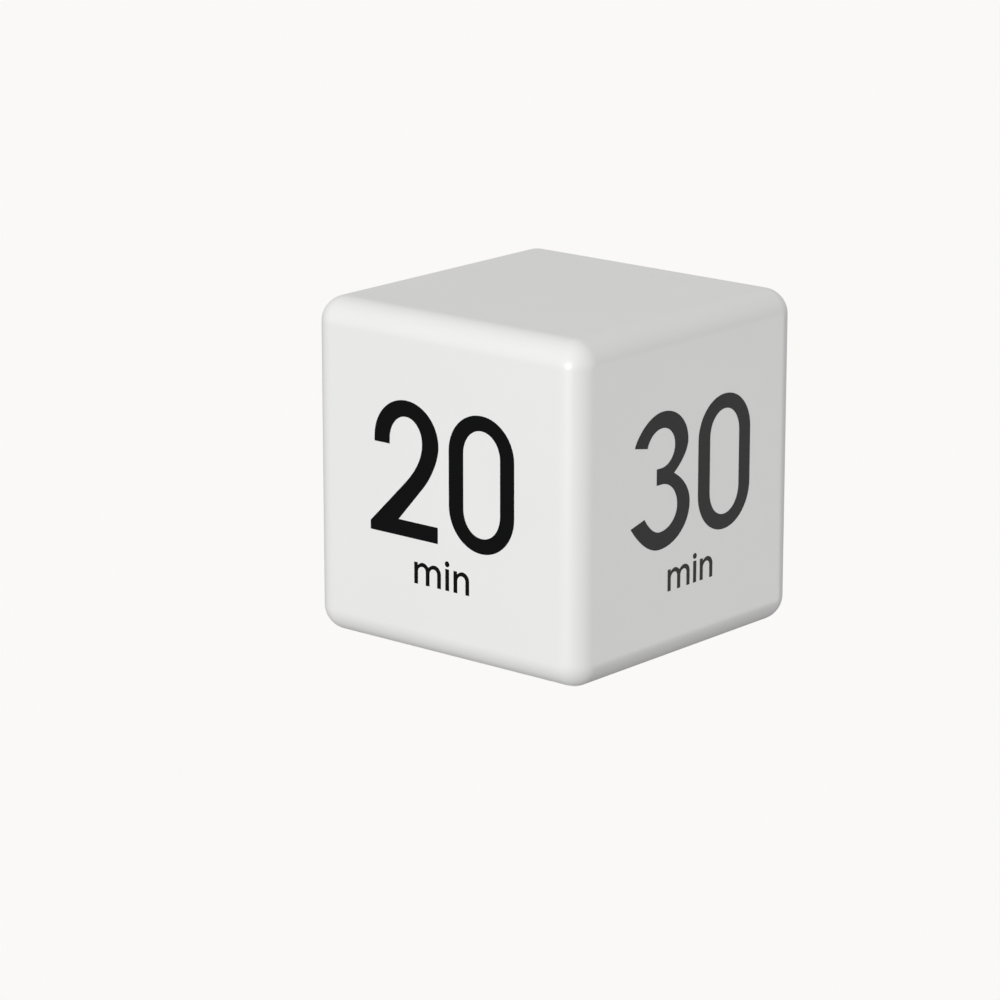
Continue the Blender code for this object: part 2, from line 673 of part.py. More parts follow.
def leads():
    """Four soldered leads up to the main board. Each route is given by its points in X, Y and Z."""
    board_under = BOARD_Z[0] - GAP
    tab_x = -CONTACT_X - CONTACT_THICKNESS / 2
    for name, y, end_y, look in (
            ("battery_lead_black", contact_y("negative"), 0.005, wire_black()),
            ("battery_lead_red", contact_y("positive"), 0.0135, wire_red())):
        knots = (
            (tab_x, y, TAB_TOP + GAP), (tab_x, y, 0.021), (tab_x - 0.0008, y, 0.030),
            (tab_x - 0.0006, end_y, 0.042), (tab_x, end_y, 0.049), (tab_x, end_y, board_under))
        tube(name, smooth_route(knots), LEAD_RADIUS, look)
    x, y = BUZZER_AT
    for name, from_middle, start, end_x, look in (
            ("buzzer_lead_1", 0.0, BUZZER_CERAMIC_Z[1], 0.009, wire_red()),
            ("buzzer_lead_2", 0.0085, BUZZER_DISC_Z[1], 0.013, wire_black())):
        foot_x = x + from_middle
        knots = (
            (foot_x, y, start + GAP), (foot_x, y, 0.009), (foot_x - 0.001, y + 0.001, 0.020),
            (end_x + 0.003, y + 0.001, 0.034), (end_x, y, 0.047), (end_x, y, board_under))
        tube(name, smooth_route(knots), LEAD_RADIUS, look)


def ribbon_cable():
    """A flat cable from the switch board up to the main board, bowed in the YZ plane."""
    low, high = SWITCH_BOARD_Z[1] + GAP, BOARD_Z[0] - GAP
    x = sum(SWITCH_BOARD_X) / 2
    foot_y = SWITCH_BOARD_Y[1] - RIBBON_INSET
    bow = ((0.0, low), (0.0, 0.016), (-0.004, 0.027), (-0.006, 0.038), (-0.004, 0.048), (-0.004, high))
    route = smooth_route([(0, foot_y + aside, z) for aside, z in bow], steps=3)
    bm = bmesh.new()
    rings = []
    for i, point in enumerate(route):
        ahead = route[min(i + 1, len(route) - 1)] - route[max(i - 1, 0)]
        across = Vector((0, ahead.z, -ahead.y)).normalized() * RIBBON_THICKNESS / 2
        if i in (0, len(route) - 1):
            across = Vector((0, RIBBON_THICKNESS / 2, 0))
        near, far = point - across, point + across
        left, right = x - RIBBON_HALF_WIDTH, x + RIBBON_HALF_WIDTH
        corners = ((left, near), (right, near), (right, far), (left, far))
        rings.append([bm.verts.new((side, at.y, at.z)) for side, at in corners])
    for ring, after in zip(rings, rings[1:]):
        for i in range(4):
            bm.faces.new((ring[i], ring[(i + 1) % 4], after[(i + 1) % 4], after[i]))
    bm.faces.new(rings[0])
    bm.faces.new(rings[-1])
    place_object("ribbon_cable", bm, ribbon_grey())


def build():
    for obj in list(bpy.data.objects):
        bpy.data.objects.remove(obj)
    outer_shell()
    base_cover()
    battery_door()
    door_hinge_pin()
    cover_screws()
    board_screws()
    batteries_and_contacts()
    for kind in SWITCH_AT:
        slide_switch(kind)
    switch_board()
    buzzer()
    main_board()
    display()
    components()
    for number in range(4):
        tilt_switch(number + 1, number)
    leads()
    ribbon_cable()


build()
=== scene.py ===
import math

import bmesh
import bpy
from mathutils import Matrix, Vector


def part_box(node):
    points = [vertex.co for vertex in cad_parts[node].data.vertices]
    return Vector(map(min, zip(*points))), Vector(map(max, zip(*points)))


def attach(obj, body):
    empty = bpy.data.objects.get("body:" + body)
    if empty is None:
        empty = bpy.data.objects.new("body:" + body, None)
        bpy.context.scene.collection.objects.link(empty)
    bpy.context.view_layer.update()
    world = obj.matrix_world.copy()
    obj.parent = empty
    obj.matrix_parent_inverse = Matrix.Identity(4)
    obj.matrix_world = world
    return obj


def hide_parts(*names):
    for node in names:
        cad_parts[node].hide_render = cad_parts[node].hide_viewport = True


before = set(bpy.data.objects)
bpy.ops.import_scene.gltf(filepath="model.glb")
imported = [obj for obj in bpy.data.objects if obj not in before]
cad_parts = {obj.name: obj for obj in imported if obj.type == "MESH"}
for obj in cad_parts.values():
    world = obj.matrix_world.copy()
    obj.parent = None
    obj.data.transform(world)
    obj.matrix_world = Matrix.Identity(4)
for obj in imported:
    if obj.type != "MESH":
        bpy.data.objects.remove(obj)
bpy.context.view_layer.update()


# Outer shell: a hollow five-sided cube, injection moulded in white ABS with a fine spark-eroded finish. Its
# edges are rounded, and four corner pillars and four board bosses stand inside it. The top wall is thinned
# over the display.

CUBE = 0.065
EDGE_RADIUS = 0.005
WALL = 0.0025
CAVITY = CUBE / 2 - WALL
CAVITY_TOP = CUBE - WALL
COVER_TOP = 0.0028
COVER_GAP = 0.0003
PILLAR_SIDE = 0.0225
PILLAR_OVERLAP = 0.0003
COVER_SCREW = 0.025
COVER_SCREW_BORE = 0.00145
COVER_BORE_TOP = 0.0138
BOARD_Z = (0.0537, 0.0553)
BOARD_SCREW = (0.0245, 0.0155)
BOARD_HOLE = 0.00105
BOARD_BORE_TOP = 0.0592
BOSS_RADIUS = 0.0023
WINDOW_HALF = (0.0257, 0.01)
WINDOW_TOP = 0.0641
WINDOW_CORNER = 0.0008
SHELL_EDGE = 0.0001
BEYOND = 0.001  # how far a cut or a joined part runs on past the face it goes through


def linear(hex_colour):
    """An sRGB hex colour as linear red, green, blue and alpha."""
    parts = [int(hex_colour[i:i + 2], 16) / 255 for i in (1, 3, 5)]
    return (*[c / 12.92 if c <= 0.04045 else ((c + 0.055) / 1.055) ** 2.4 for c in parts], 1.0)


def add_node(material, kind, inputs=None, **settings):
    """One shader node with its settings. An input is a value, or another node's output to link."""
    made = material.node_tree.nodes.new("ShaderNode" + kind)
    for name, value in settings.items():
        setattr(made, name, value)
    for name, value in (inputs or {}).items():
        if isinstance(value, bpy.types.NodeSocket):
            material.node_tree.links.new(value, made.inputs[name])
        else:
            made.inputs[name].default_value = value
    return made


def start_material(name, **sockets):
    """A new material with its place on the object, and the shader's own values set by socket name."""
    material = bpy.data.materials.new(name)
    material.use_nodes = True
    shader = material.node_tree.nodes["Principled BSDF"]
    for socket, value in sockets.items():
        shader.inputs[socket.replace("_", " ")].default_value = value
    return material, add_node(material, "TexCoord").outputs["Object"]


def finish_material(material, **outputs):
    """Feeds the shader's sockets, by name, from other nodes."""
    shader = material.node_tree.nodes["Principled BSDF"]
    for socket, output in outputs.items():
        material.node_tree.links.new(output, shader.inputs[socket.replace("_", " ")])
    return material


def moulded_plastic(name, colour, darker, roughness, grain=0.00035, relief=0.000012):
    """Plastic from a spark-eroded mould: a fine even grain in relief and gloss, and slow faint clouding."""
    material, place = start_material(name, IOR=1.53)
    clouds = add_node(material, "TexNoise", {"Vector": place, "Scale": 1 / 0.02, "Detail": 2.0})
    tint = add_node(material, "MixRGB", {
        "Fac": clouds.outputs["Fac"], "Color1": linear(darker), "Color2": linear(colour)})
    grains = add_node(material, "TexNoise", {
        "Vector": place, "Scale": 1 / grain, "Detail": 3.0, "Roughness": 0.6})
    gloss = add_node(material, "MapRange", {
        "Value": grains.outputs["Fac"], "From Min": 0.3, "From Max": 0.7,
        "To Min": roughness - 0.04, "To Max": roughness + 0.05})
    bump = add_node(material, "Bump", {"Height": grains.outputs["Fac"], "Strength": 0.5, "Distance": relief})
    return finish_material(material, Base_Color=tint.outputs["Color"], Roughness=gloss.outputs["Result"],
                           Normal=bump.outputs["Normal"])


def block(x, y, z, corner=0.0, corner_steps=8):
    """A block between two limits on each axis, with its upright edges rounded to corner."""
    bm = bmesh.new()
    size = Vector((x[1] - x[0], y[1] - y[0], z[1] - z[0]))
    middle = Vector((sum(x), sum(y), sum(z))) / 2
    bmesh.ops.create_cube(bm, size=1.0, matrix=Matrix.Translation(middle) @ Matrix.Diagonal((*size, 1)))
    if corner:
        upright = [e for e in bm.edges if abs(e.verts[0].co.z - e.verts[1].co.z) > size.z / 2]
        bmesh.ops.bevel(bm, geom=upright, offset=corner, segments=corner_steps, affect="EDGES", profile=0.5,
                        material=-1)
    return bm


def rod(start, end, radius, sides=48, end_radius=None):
    """A round bar or a cone from start to end."""
    start, end = Vector(start), Vector(end)
    along = end - start
    place = Matrix.Translation((start + end) / 2) @ along.to_track_quat("Z", "Y").to_matrix().to_4x4()
    far = radius if end_radius is None else end_radius
    bm = bmesh.new()
    bmesh.ops.create_cone(bm, cap_ends=True, segments=sides, radius1=radius, radius2=far, depth=along.length,
                          matrix=place)
    return bm


def span(middle, half):
    return (middle - half, middle + half)


def either_side(sign, near, far):
    """Limits between near and far on the side of the axis that sign gives."""
    return sorted((sign * near, sign * far))


def working_object(bm):
    mesh = bpy.data.meshes.new("working")
    bm.to_mesh(mesh)
    bm.free()
    obj = bpy.data.objects.new("working", mesh)
    bpy.context.scene.collection.objects.link(obj)
    return obj


def carve(bm, tools, way="DIFFERENCE"):
    """The solid bm with each tool cut away from it, or joined to it."""
    body, *cutters = [working_object(b) for b in (bm, *tools)]
    for cutter in cutters:
        change = body.modifiers.new("carve", "BOOLEAN")
        change.operation = way
        change.solver = "EXACT"
        change.object = cutter
    bpy.context.view_layer.update()
    result = bmesh.new()
    result.from_object(body, bpy.context.evaluated_depsgraph_get())
    for obj in (body, *cutters):
        bpy.data.objects.remove(obj)
    return result


def make_piece(name, bm, material, edge=0.0, sharp=35, clean=True):
    """The finished object for a bmesh: soft edges of the given size, and flat faces that shade flat."""
    if clean:
        bmesh.ops.remove_doubles(bm, verts=bm.verts, dist=1e-7)
        bmesh.ops.recalc_face_normals(bm, faces=bm.faces)
    mesh = bpy.data.meshes.new(name)
    bm.to_mesh(mesh)
    bm.free()
    mesh.materials.clear()
    mesh.materials.append(material)
    mesh.shade_smooth()
    mesh.set_sharp_from_angle(angle=math.radians(sharp))
    piece = bpy.data.objects.new(name, mesh)
    bpy.context.scene.collection.objects.link(piece)
    if edge:
        soften = piece.modifiers.new("soft edges", "BEVEL")
        soften.width = edge
        soften.segments = 2
        soften.limit_method = "ANGLE"
        soften.angle_limit = math.radians(sharp)
        soften.harden_normals = True
    even = piece.modifiers.new("flat faces", "WEIGHTED_NORMAL")
    even.keep_sharp = True
    return piece


def rounded_cube(steps=16):
    bm = bmesh.new()
    bmesh.ops.create_cube(bm, size=CUBE, matrix=Matrix.Translation((0, 0, CUBE / 2)))
    bmesh.ops.bevel(bm, geom=bm.edges[:], offset=EDGE_RADIUS, segments=steps, affect="EDGES", profile=0.5,
                    material=-1)
    return bm


# White ABS: matt, evenly bright, with a soft broad highlight where the edges turn
white_abs = moulded_plastic("white_abs_spark_eroded", "#F3F3F2", "#F0F0EF", 0.33)

cavity = span(0, CAVITY)
posts = []
bores = []
for sx in (-1, 1):
    for sy in (-1, 1):
        reach = CAVITY + PILLAR_OVERLAP
        posts.append(block(either_side(sx, PILLAR_SIDE, reach), either_side(sy, PILLAR_SIDE, reach),
                           (COVER_TOP + COVER_GAP, CAVITY_TOP + PILLAR_OVERLAP)))
        corner = (sx * COVER_SCREW, sy * COVER_SCREW)
        bores.append(rod((*corner, BEYOND), (*corner, COVER_BORE_TOP), COVER_SCREW_BORE))
        boss = (sx * BOARD_SCREW[0], sy * BOARD_SCREW[1])
        posts.append(rod((*boss, BOARD_Z[1] + COVER_GAP), (*boss, CAVITY_TOP + BEYOND), BOSS_RADIUS))
        bores.append(rod((*boss, BOARD_Z[0]), (*boss, BOARD_BORE_TOP), BOARD_HOLE))
shell = carve(rounded_cube(), [block(cavity, cavity, (-2 * BEYOND, CAVITY_TOP), EDGE_RADIUS - WALL)])
shell = carve(shell, posts, "UNION")
bores.append(block(span(0, WINDOW_HALF[0]), span(0, WINDOW_HALF[1]), (CAVITY_TOP - BEYOND, WINDOW_TOP),
                   WINDOW_CORNER))
cube_shell = make_piece("cube_shell", carve(shell, bores), white_abs, SHELL_EDGE)
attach(cube_shell, "case")
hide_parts("outer_shell")


# Minutes on the side faces: narrow round-cornered numerals with "min" under them, pad printed in black ink
# that stands a few hundredths of a millimetre proud of the plastic.

MM = 0.001
INK_THICKNESS = 0.00003
INK_LIFT = 0.000004
DIGIT_BASE = -9.95
UNIT_BASE = -18.5
DIGIT_GAP = 2.5
LETTER_GAP = 1.0

# Each number with the way its face looks, the way that it reads, and how far it is printed off the middle
SIDE_FACES = (
    ("20", (0, -1, 0), (1, 0, 0), -0.15),
    ("30", (1, 0, 0), (0, 1, 0), 0.2),
    ("60", (0, 1, 0), (-1, 0, 0), 0.0),
    ("15", (-1, 0, 0), (0, -1, 0), 0.0),
)

# Each outline is a list of corners (x, y) and of smooth points (x, y, heading in degrees, handle before,
# handle after) in millimetres from the digit's left edge and its foot.
NUMERALS = {
    "0": (15.7, [
        [(0, 7.95, 90, 4.39, 0), (0, 18.3, 90, 0, 4.34), (7.85, 26.05, 0, 4.34, 4.34),
         (15.7, 18.3, -90, 4.34, 0), (15.7, 7.95, -90, 0, 4.39), (7.85, 0, 180, 4.34, 4.34)],
        [(3.5, 7.95, 90, 2.9, 0), (3.5, 18.3, 90, 0, 2.7), (7.92, 23.2, 0, 2.5, 2.5),
         (12.35, 18.3, -90, 2.7, 0), (12.35, 7.95, -90, 0, 2.9), (7.92, 2.9, 180, 2.5, 2.5)]]),
    "1": (8.8, [
        [(5.3, 0), (5.3, 21.3), (0, 17.6), (0, 21.7), (5.7, 26.05), (8.8, 26.05), (8.8, 0)]]),
    "2": (16.9, [
        [(1.15, 17.2), (1.15, 18.2, 90, 0, 4.34), (9.0, 26.05, 0, 4.34, 4.34), (16.9, 18.4, -90, 4.2, 2.6),
         (13.05, 9.95, -131.5, 2.9, 0), (7.0, 3.1), (16.65, 3.1), (16.65, 0), (0, 0), (0, 1.7),
         (8.3, 9.95, 44.8, 0, 3.4), (12.9, 18.4, 90, 3.3, 2.5), (8.95, 22.95, 180, 2.2, 2.2),
         (4.9, 18.2, -90, 2.6, 0), (4.9, 17.2)]]),
    "3": (17.35, [
        [(1.05, 20.55, 75, 0, 1.4), (9.25, 26.05, 0, 4.6, 4.15), (16.75, 19.45, -90, 3.65, 2.9),
         (12.6, 13.85, -30, 0, 1.9), (17.35, 7.45, -90, 3.4, 4.1), (8.5, 0, 180, 4.9, 4.6), (0, 5.6),
         (4.0, 6.65), (8.6, 3.35, 0, 2.6, 2.8), (13.65, 7.7, 90, 2.4, 2.6), (8.9, 12.35, 180, 2.6, 0),
         (7.5, 12.35), (7.5, 15.45), (8.9, 15.45, 0, 0, 2.2), (12.85, 19.3, 90, 2.1, 2.0),
         (9.0, 22.95, 180, 2.1, 2.5), (4.75, 19.85, -100, 1.2, 0)]]),
    "5": (16.6, [
        [(1.9, 26.05), (15.2, 26.05), (15.2, 23.05), (5.1, 23.05), (4.75, 15.2), (9.2, 16.75, 0, 2.4, 4.1),
         (16.6, 8.5, -90, 4.4, 4.5), (8.4, 0, 180, 4.6, 4.6), (0, 5.2), (3.8, 6.3), (8.4, 2.95, 0, 2.6, 2.6),
         (13.0, 8.4, 90, 2.9, 2.9), (8.6, 13.8, 180, 2.6, 2.0), (4.4, 11.6), (1.3, 11.9)]]),
    "6": (16.1, [
        [(15.2, 20.3), (11.7, 19.6), (8.0, 22.95, 180, 2.0, 2.4), (3.55, 18.0, -90, 2.6, 0), (3.55, 14.2),
         (8.9, 16.4, 0, 2.6, 4.0), (16.1, 8.2, -90, 4.5, 4.5), (8.05, 0, 180, 4.45, 4.45),
         (0, 8.1, 90, 4.4, 0), (0, 18.2, 90, 0, 4.4), (8.0, 26.05, 0, 4.4, 4.2)],
        [(12.6, 8.2, -90, 2.9, 2.9), (8.05, 2.95, 180, 2.5, 2.5), (3.55, 8.2, 90, 2.9, 2.9),
         (8.05, 13.45, 0, 2.5, 2.5)]]),
}
LETTERS = {
    "m": (6.55, [
        [(0, 0), (0, 4.15), (0.86, 4.15), (0.86, 3.65), (2.15, 4.25, 0, 0.6, 0.7), (3.5, 3.55),
         (5.0, 4.25, 0, 0.8, 0.9), (6.55, 2.7, -90, 0.8, 0), (6.55, 0), (5.65, 0), (5.65, 2.6, 90, 0, 0.5),
         (4.77, 3.45, 180, 0.5, 0.55), (3.75, 2.4, -90, 0.6, 0), (3.75, 0), (2.84, 0),
         (2.84, 2.6, 90, 0, 0.5), (1.98, 3.45, 180, 0.45, 0.55), (0.9, 2.4, -90, 0.6, 0), (0.9, 0)]]),
    "i": (1.1, [
        [(0.1, 0), (0.1, 4.15), (1.0, 4.15), (1.0, 0)],
        [(0, 5.1, 90, 0.3, 0.3), (0.55, 5.65, 0, 0.3, 0.3), (1.1, 5.1, -90, 0.3, 0.3),
         (0.55, 4.55, 180, 0.3, 0.3)]]),
    "n": (3.8, [
        [(0, 0), (0, 4.15), (0.86, 4.15), (0.86, 3.6), (2.2, 4.25, 0, 0.7, 0.85), (3.8, 2.65, -90, 0.85, 0),
         (3.8, 0), (2.9, 0), (2.9, 2.5, 90, 0, 0.5), (2.02, 3.43, 180, 0.5, 0.6), (0.9, 2.35, -90, 0.6, 0),
         (0.9, 0)]]),
}


def add_outline(curve, knots, shift, base):
    """One closed outline on a flat curve, moved right by shift and up by base."""
    spline = curve.splines.new("BEZIER")
    spline.bezier_points.add(len(knots) - 1)
    spline.use_cyclic_u = True
    for spot, knot in zip(spline.bezier_points, knots):
        x, y, heading, before, after = knot if len(knot) == 5 else (*knot, 0, 0, 0)
        way = Vector((math.cos(math.radians(heading)), math.sin(math.radians(heading)), 0))
        at = Vector((x + shift, y + base, 0))
        spot.handle_left_type = spot.handle_right_type = "FREE"
        spot.co = at
        spot.handle_left = at - way * before
        spot.handle_right = at + way * after


def curve_mesh(name, curve):
    """The mesh that a curve draws."""
    drawn = bpy.data.objects.new(name, curve)
    bpy.context.scene.collection.objects.link(drawn)
    bpy.context.view_layer.update()
    mesh = bpy.data.meshes.new_from_object(drawn.evaluated_get(bpy.context.evaluated_depsgraph_get()))
    bpy.data.objects.remove(drawn)
    return mesh


def print_mesh(name, rows):
    """A thin solid in the XY plane, in millimetres, from (glyph outlines, shift, base) rows."""
    curve = bpy.data.curves.new(name, "CURVE")
    curve.dimensions = "2D"
    curve.fill_mode = "BOTH"
    curve.resolution_u = 14
    curve.extrude = INK_THICKNESS / 2 / MM
    for glyph, shift, base in rows:
        for knots in glyph:
            add_outline(curve, knots, shift, base)
    return curve_mesh(name, curve)


def on_face(outward, right):
    """The matrix that lays a print in millimetres on a side face, round the middle of the face."""
    outward, right = Vector(outward), Vector(right)
    turn = Matrix((right, outward.cross(right), outward)).transposed().to_4x4()
    middle = outward * CUBE / 2 + Vector((0, 0, CUBE / 2))
    lift = INK_LIFT + INK_THICKNESS / 2
    return Matrix.Translation(middle + outward * lift) @ turn @ Matrix.Scale(MM, 4)


def set_row(characters, font, gap):
    """Each character's outlines with its left edge, in a row centred on zero."""
    width = sum(font[c][0] for c in characters) + gap * (len(characters) - 1)
    left, row = -width / 2, []
    for c in characters:
        row.append((font[c][1], left))
        left += font[c][0] + gap
    return row


def pad_print_ink():
    """Pad printing ink: near black, a little glossier than the plastic, with faint orange-peel."""
    material, place = start_material("pad_print_ink_black", IOR=1.25, Base_Color=linear("#050506"))
    peel = add_node(material, "TexNoise", {"Vector": place, "Scale": 1 / 0.0006, "Detail": 2.0})
    gloss = add_node(material, "MapRange", {"Value": peel.outputs["Fac"], "To Min": 0.3, "To Max": 0.38})
    bump = add_node(material, "Bump", {"Height": peel.outputs["Fac"], "Strength": 0.3, "Distance": 0.00001})
    return finish_material(material, Roughness=gloss.outputs["Result"], Normal=bump.outputs["Normal"])


black_ink = pad_print_ink()
for number, outward, right, shift in SIDE_FACES:
    rows = [(glyph, left + shift, DIGIT_BASE) for glyph, left in set_row(number, NUMERALS, DIGIT_GAP)]
    rows += [(glyph, left + shift, UNIT_BASE) for glyph, left in set_row("min", LETTERS, LETTER_GAP)]
    name = f"print_{number}_min"
    mesh = print_mesh(name, rows)
    mesh.transform(on_face(outward, right))
    mesh.materials.clear()
    mesh.materials.append(black_ink)
    piece = bpy.data.objects.new(name, mesh)
    bpy.context.scene.collection.objects.link(piece)
    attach(piece, "case")


# Display: a black ABS block with a well for each bar of its four digits, filled with milky epoxy over the
# light chips. A white polyester film lies over it and spreads the light, so the unlit digits don't show
# through the top wall.

DIGIT_X = (-0.0185, -0.0067, 0.0067, 0.0185)
BAR_HALF = 0.0006
BAR_LENGTH = 0.0044
DIGIT_HALF = (0.0028, 0.0053)
COLON_Y = 0.0022
BAR_TOP = 0.0635
WELL_BOTTOM = 0.0606
WELL_SPARE = 0.00008
BAR_LIFT = 0.0001
FILM_CORNER = 0.0012
FILM_HOLE_Y = 0.0088
FILM_HOLE = 0.0004


def gather(parts):
    """Separate solids as one bmesh."""
    whole = bmesh.new()
    for part in parts:
        mesh = bpy.data.meshes.new("working")
        part.to_mesh(mesh)
        part.free()
        whole.from_mesh(mesh)
        bpy.data.meshes.remove(mesh)
    return whole


def fit(piece, body, slot, *nodes):
    """Fixes a piece to its body, in place of the plain nodes it stands for."""
    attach(piece, body)
    if nodes:
        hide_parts(*nodes)
    return piece


def box_block(node, corner=0.0, corner_steps=8):
    """A block that fills the plain node's box."""
    low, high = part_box(node)
    return block((low.x, high.x), (low.y, high.y), (low.z, high.z), corner, corner_steps)


def digit_bars(x, z, spare=0.0):
    """The seven pointed bars of one digit, each grown by spare."""
    half, long = BAR_HALF + spare, BAR_LENGTH / 2 + spare
    wide, tall = DIGIT_HALF
    lying = [(x, y, long, half) for y in (-tall, 0, tall)]
    upright = [(x + side, y, half, long) for side in (-wide, wide) for y in (-tall / 2, tall / 2)]
    return [block(span(at_x, half_x), span(at_y, half_y), z, half * 0.99, 1)
            for at_x, at_y, half_x, half_y in (*lying, *upright)]


def colon_dots(z, radius):
    return [rod((0, y, z[0]), (0, y, z[1]), radius, 24) for y in (-COLON_Y, COLON_Y)]


def milky_epoxy():
    """Cast epoxy with a white filler: even and waxy, a little cloudier where the filler settled."""
    material, place = start_material("cast_milky_epoxy", IOR=1.55, Subsurface_Weight=0.2,
                                     Subsurface_Scale=0.001)
    filler = add_node(material, "TexNoise", {"Vector": place, "Scale": 1 / 0.0015, "Detail": 3.0})
    tint = add_node(material, "MixRGB", {
        "Fac": filler.outputs["Fac"], "Color1": linear("#D9DAD6"), "Color2": linear("#E9EAE7")})
    gloss = add_node(material, "MapRange", {"Value": filler.outputs["Fac"], "To Min": 0.3, "To Max": 0.42})
    return finish_material(material, Base_Color=tint.outputs["Color"], Roughness=gloss.outputs["Result"])


# Black ABS: satin, almost neutral, with the same fine mould grain as the white parts
black_abs = moulded_plastic("black_abs_moulded", "#1C1C1E", "#151517", 0.5)
epoxy = milky_epoxy()

well_z = (WELL_BOTTOM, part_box("led_display")[1].z + BEYOND)
bar_z = (WELL_BOTTOM + BAR_LIFT, BAR_TOP)
wells = [bar for x in DIGIT_X for bar in digit_bars(x, well_z, WELL_SPARE)]
bars = [bar for x in DIGIT_X for bar in digit_bars(x, bar_z)]
wells += colon_dots(well_z, BAR_HALF + WELL_SPARE)
bars += colon_dots(bar_z, BAR_HALF)
display_case = carve(box_block("led_display", 0.0004), [gather(wells)])
fit(make_piece("display_block", display_case, black_abs, 0.0001), "case", "black_plastic", "led_display")
fit(make_piece("display_bars", gather(bars), epoxy, 0.00005), "case", "diffuser_film")

# Polyester film: white and matt, with a fine tooth that spreads the light
white_film = moulded_plastic("white_polyester_film", "#E9EBEC", "#E2E4E6", 0.58, 0.00012, 0.000006)
low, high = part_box("display_diffuser")
film = carve(box_block("display_diffuser", FILM_CORNER), [
    rod((0, y, low.z - BEYOND), (0, y, high.z + BEYOND), FILM_HOLE, 24) for y in (-FILM_HOLE_Y, FILM_HOLE_Y)])
fit(make_piece("display_film", film, white_film, 0.00004), "case", "diffuser_film", "display_diffuser")


# Main board: glass-fibre laminate with copper tracks under a green solder mask, milled with notches that
# clear the corner pillars. The display's pins come through it and are soldered underneath. Four screws hold
# it to the shell.

BOARD_HALF = 0.029
BOARD_NOTCH = 0.0221
BOARD_EDGE = 0.00006
NOTCH_CORNER = 0.0008
PIN_ROW_Y = 0.0068
PIN_ROW_HALF = 0.0175
PIN_COUNT = 12
SOLDER = (0.00065, 0.0004)


def printed_circuit():
    """Green solder mask over copper: blocks of tracks run one way or the other, faintly raised, lighter."""
    material, place = start_material("green_solder_mask_on_glass_fibre", IOR=1.5)
    blocks = add_node(material, "TexVoronoi", {"Vector": place, "Scale": 1 / 0.009}, distance="CHEBYCHEV")
    shade = add_node(material, "SeparateColor", {"Color": blocks.outputs["Color"]})
    routes = []
    for turn, length, pitch in ((0.0, 0.014, 0.00125), (math.pi / 2, 0.011, 0.001)):
        turned_place = add_node(material, "Mapping", {"Vector": place, "Rotation": (0, 0, turn)})
        tracks = add_node(material, "TexBrick", {
            "Vector": turned_place.outputs["Vector"], "Scale": 1.0, "Mortar Size": 0.00013,
            "Mortar Smooth": 0.15, "Brick Width": length, "Row Height": pitch}, offset=0.29,
            offset_frequency=3)
        routes.append(tracks.outputs["Fac"])
    other_way = add_node(material, "MapRange", {
        "Value": shade.outputs["Red"], "From Min": 0.5, "From Max": 0.501})
    track = add_node(material, "MixRGB", {
        "Fac": other_way.outputs["Result"], "Color1": routes[0], "Color2": routes[1]})
    bare = add_node(material, "MapRange", {
        "Value": shade.outputs["Green"], "From Min": 0.3, "From Max": 0.301})
    drawn = add_node(material, "Math", {0: track.outputs["Color"], 1: bare.outputs["Result"]},
                     operation="MULTIPLY")
    vias = add_node(material, "TexVoronoi", {"Vector": place, "Scale": 1 / 0.0055, "Randomness": 0.9})
    rings = add_node(material, "MapRange", {
        "Value": vias.outputs["Distance"], "From Min": 0.07, "From Max": 0.09, "To Min": 1.0, "To Max": 0.0})
    copper = add_node(material, "Math", {0: drawn.outputs[0], 1: rings.outputs["Result"]},
                      operation="MAXIMUM")
    weave = add_node(material, "TexNoise", {"Vector": place, "Scale": 1 / 0.0004, "Detail": 2.0})
    laminate = add_node(material, "MixRGB", {
        "Fac": weave.outputs["Fac"], "Color1": linear("#1B4E2E"), "Color2": linear("#205935")})
    mask = add_node(material, "MixRGB", {
        "Fac": copper.outputs[0], "Color1": laminate.outputs["Color"], "Color2": linear("#2F7544")})
    normal = add_node(material, "NewGeometry").outputs["Normal"]
    facing = add_node(material, "SeparateXYZ", {"Vector": normal})
    flat = add_node(material, "Math", {0: facing.outputs["Z"]}, operation="ABSOLUTE")
    top = add_node(material, "MapRange", {"Value": flat.outputs[0], "From Min": 0.4, "From Max": 0.6})
    colour = add_node(material, "MixRGB", {
        "Fac": top.outputs["Result"], "Color1": linear("#B39B62"), "Color2": mask.outputs["Color"]})
    gloss = add_node(material, "MapRange", {"Value": weave.outputs["Fac"], "To Min": 0.24, "To Max": 0.4})
    bump = add_node(material, "Bump", {"Height": copper.outputs[0], "Strength": 0.6, "Distance": 0.000035})
    return finish_material(material, Base_Color=colour.outputs["Color"], Roughness=gloss.outputs["Result"],
                           Normal=bump.outputs["Normal"])


def worked_metal(name, colour, darker, roughness, lay=(1.0, 1.0, 1.0), lines=0.00015):
    """Metal with fine lines along the way it was rolled, drawn or turned, and slow blotches in its tone."""
    material, place = start_material(name, Metallic=1.0)
    drawn = add_node(material, "Mapping", {"Vector": place, "Scale": lay})
    marks = add_node(material, "TexNoise", {
        "Vector": drawn.outputs["Vector"], "Scale": 1 / lines, "Detail": 2.0})
    blotches = add_node(material, "TexNoise", {"Vector": place, "Scale": 1 / 0.003, "Detail": 3.0})
    tint = add_node(material, "MixRGB", {
        "Fac": blotches.outputs["Fac"], "Color1": linear(darker), "Color2": linear(colour)})
    gloss = add_node(material, "MapRange", {
        "Value": marks.outputs["Fac"], "From Min": 0.3, "From Max": 0.7,
        "To Min": roughness - 0.06, "To Max": roughness + 0.08})
    bump = add_node(material, "Bump", {"Height": marks.outputs["Fac"], "Strength": 0.4, "Distance": 0.000003})
    return finish_material(material, Base_Color=tint.outputs["Color"], Roughness=gloss.outputs["Result"],
                           Normal=bump.outputs["Normal"])


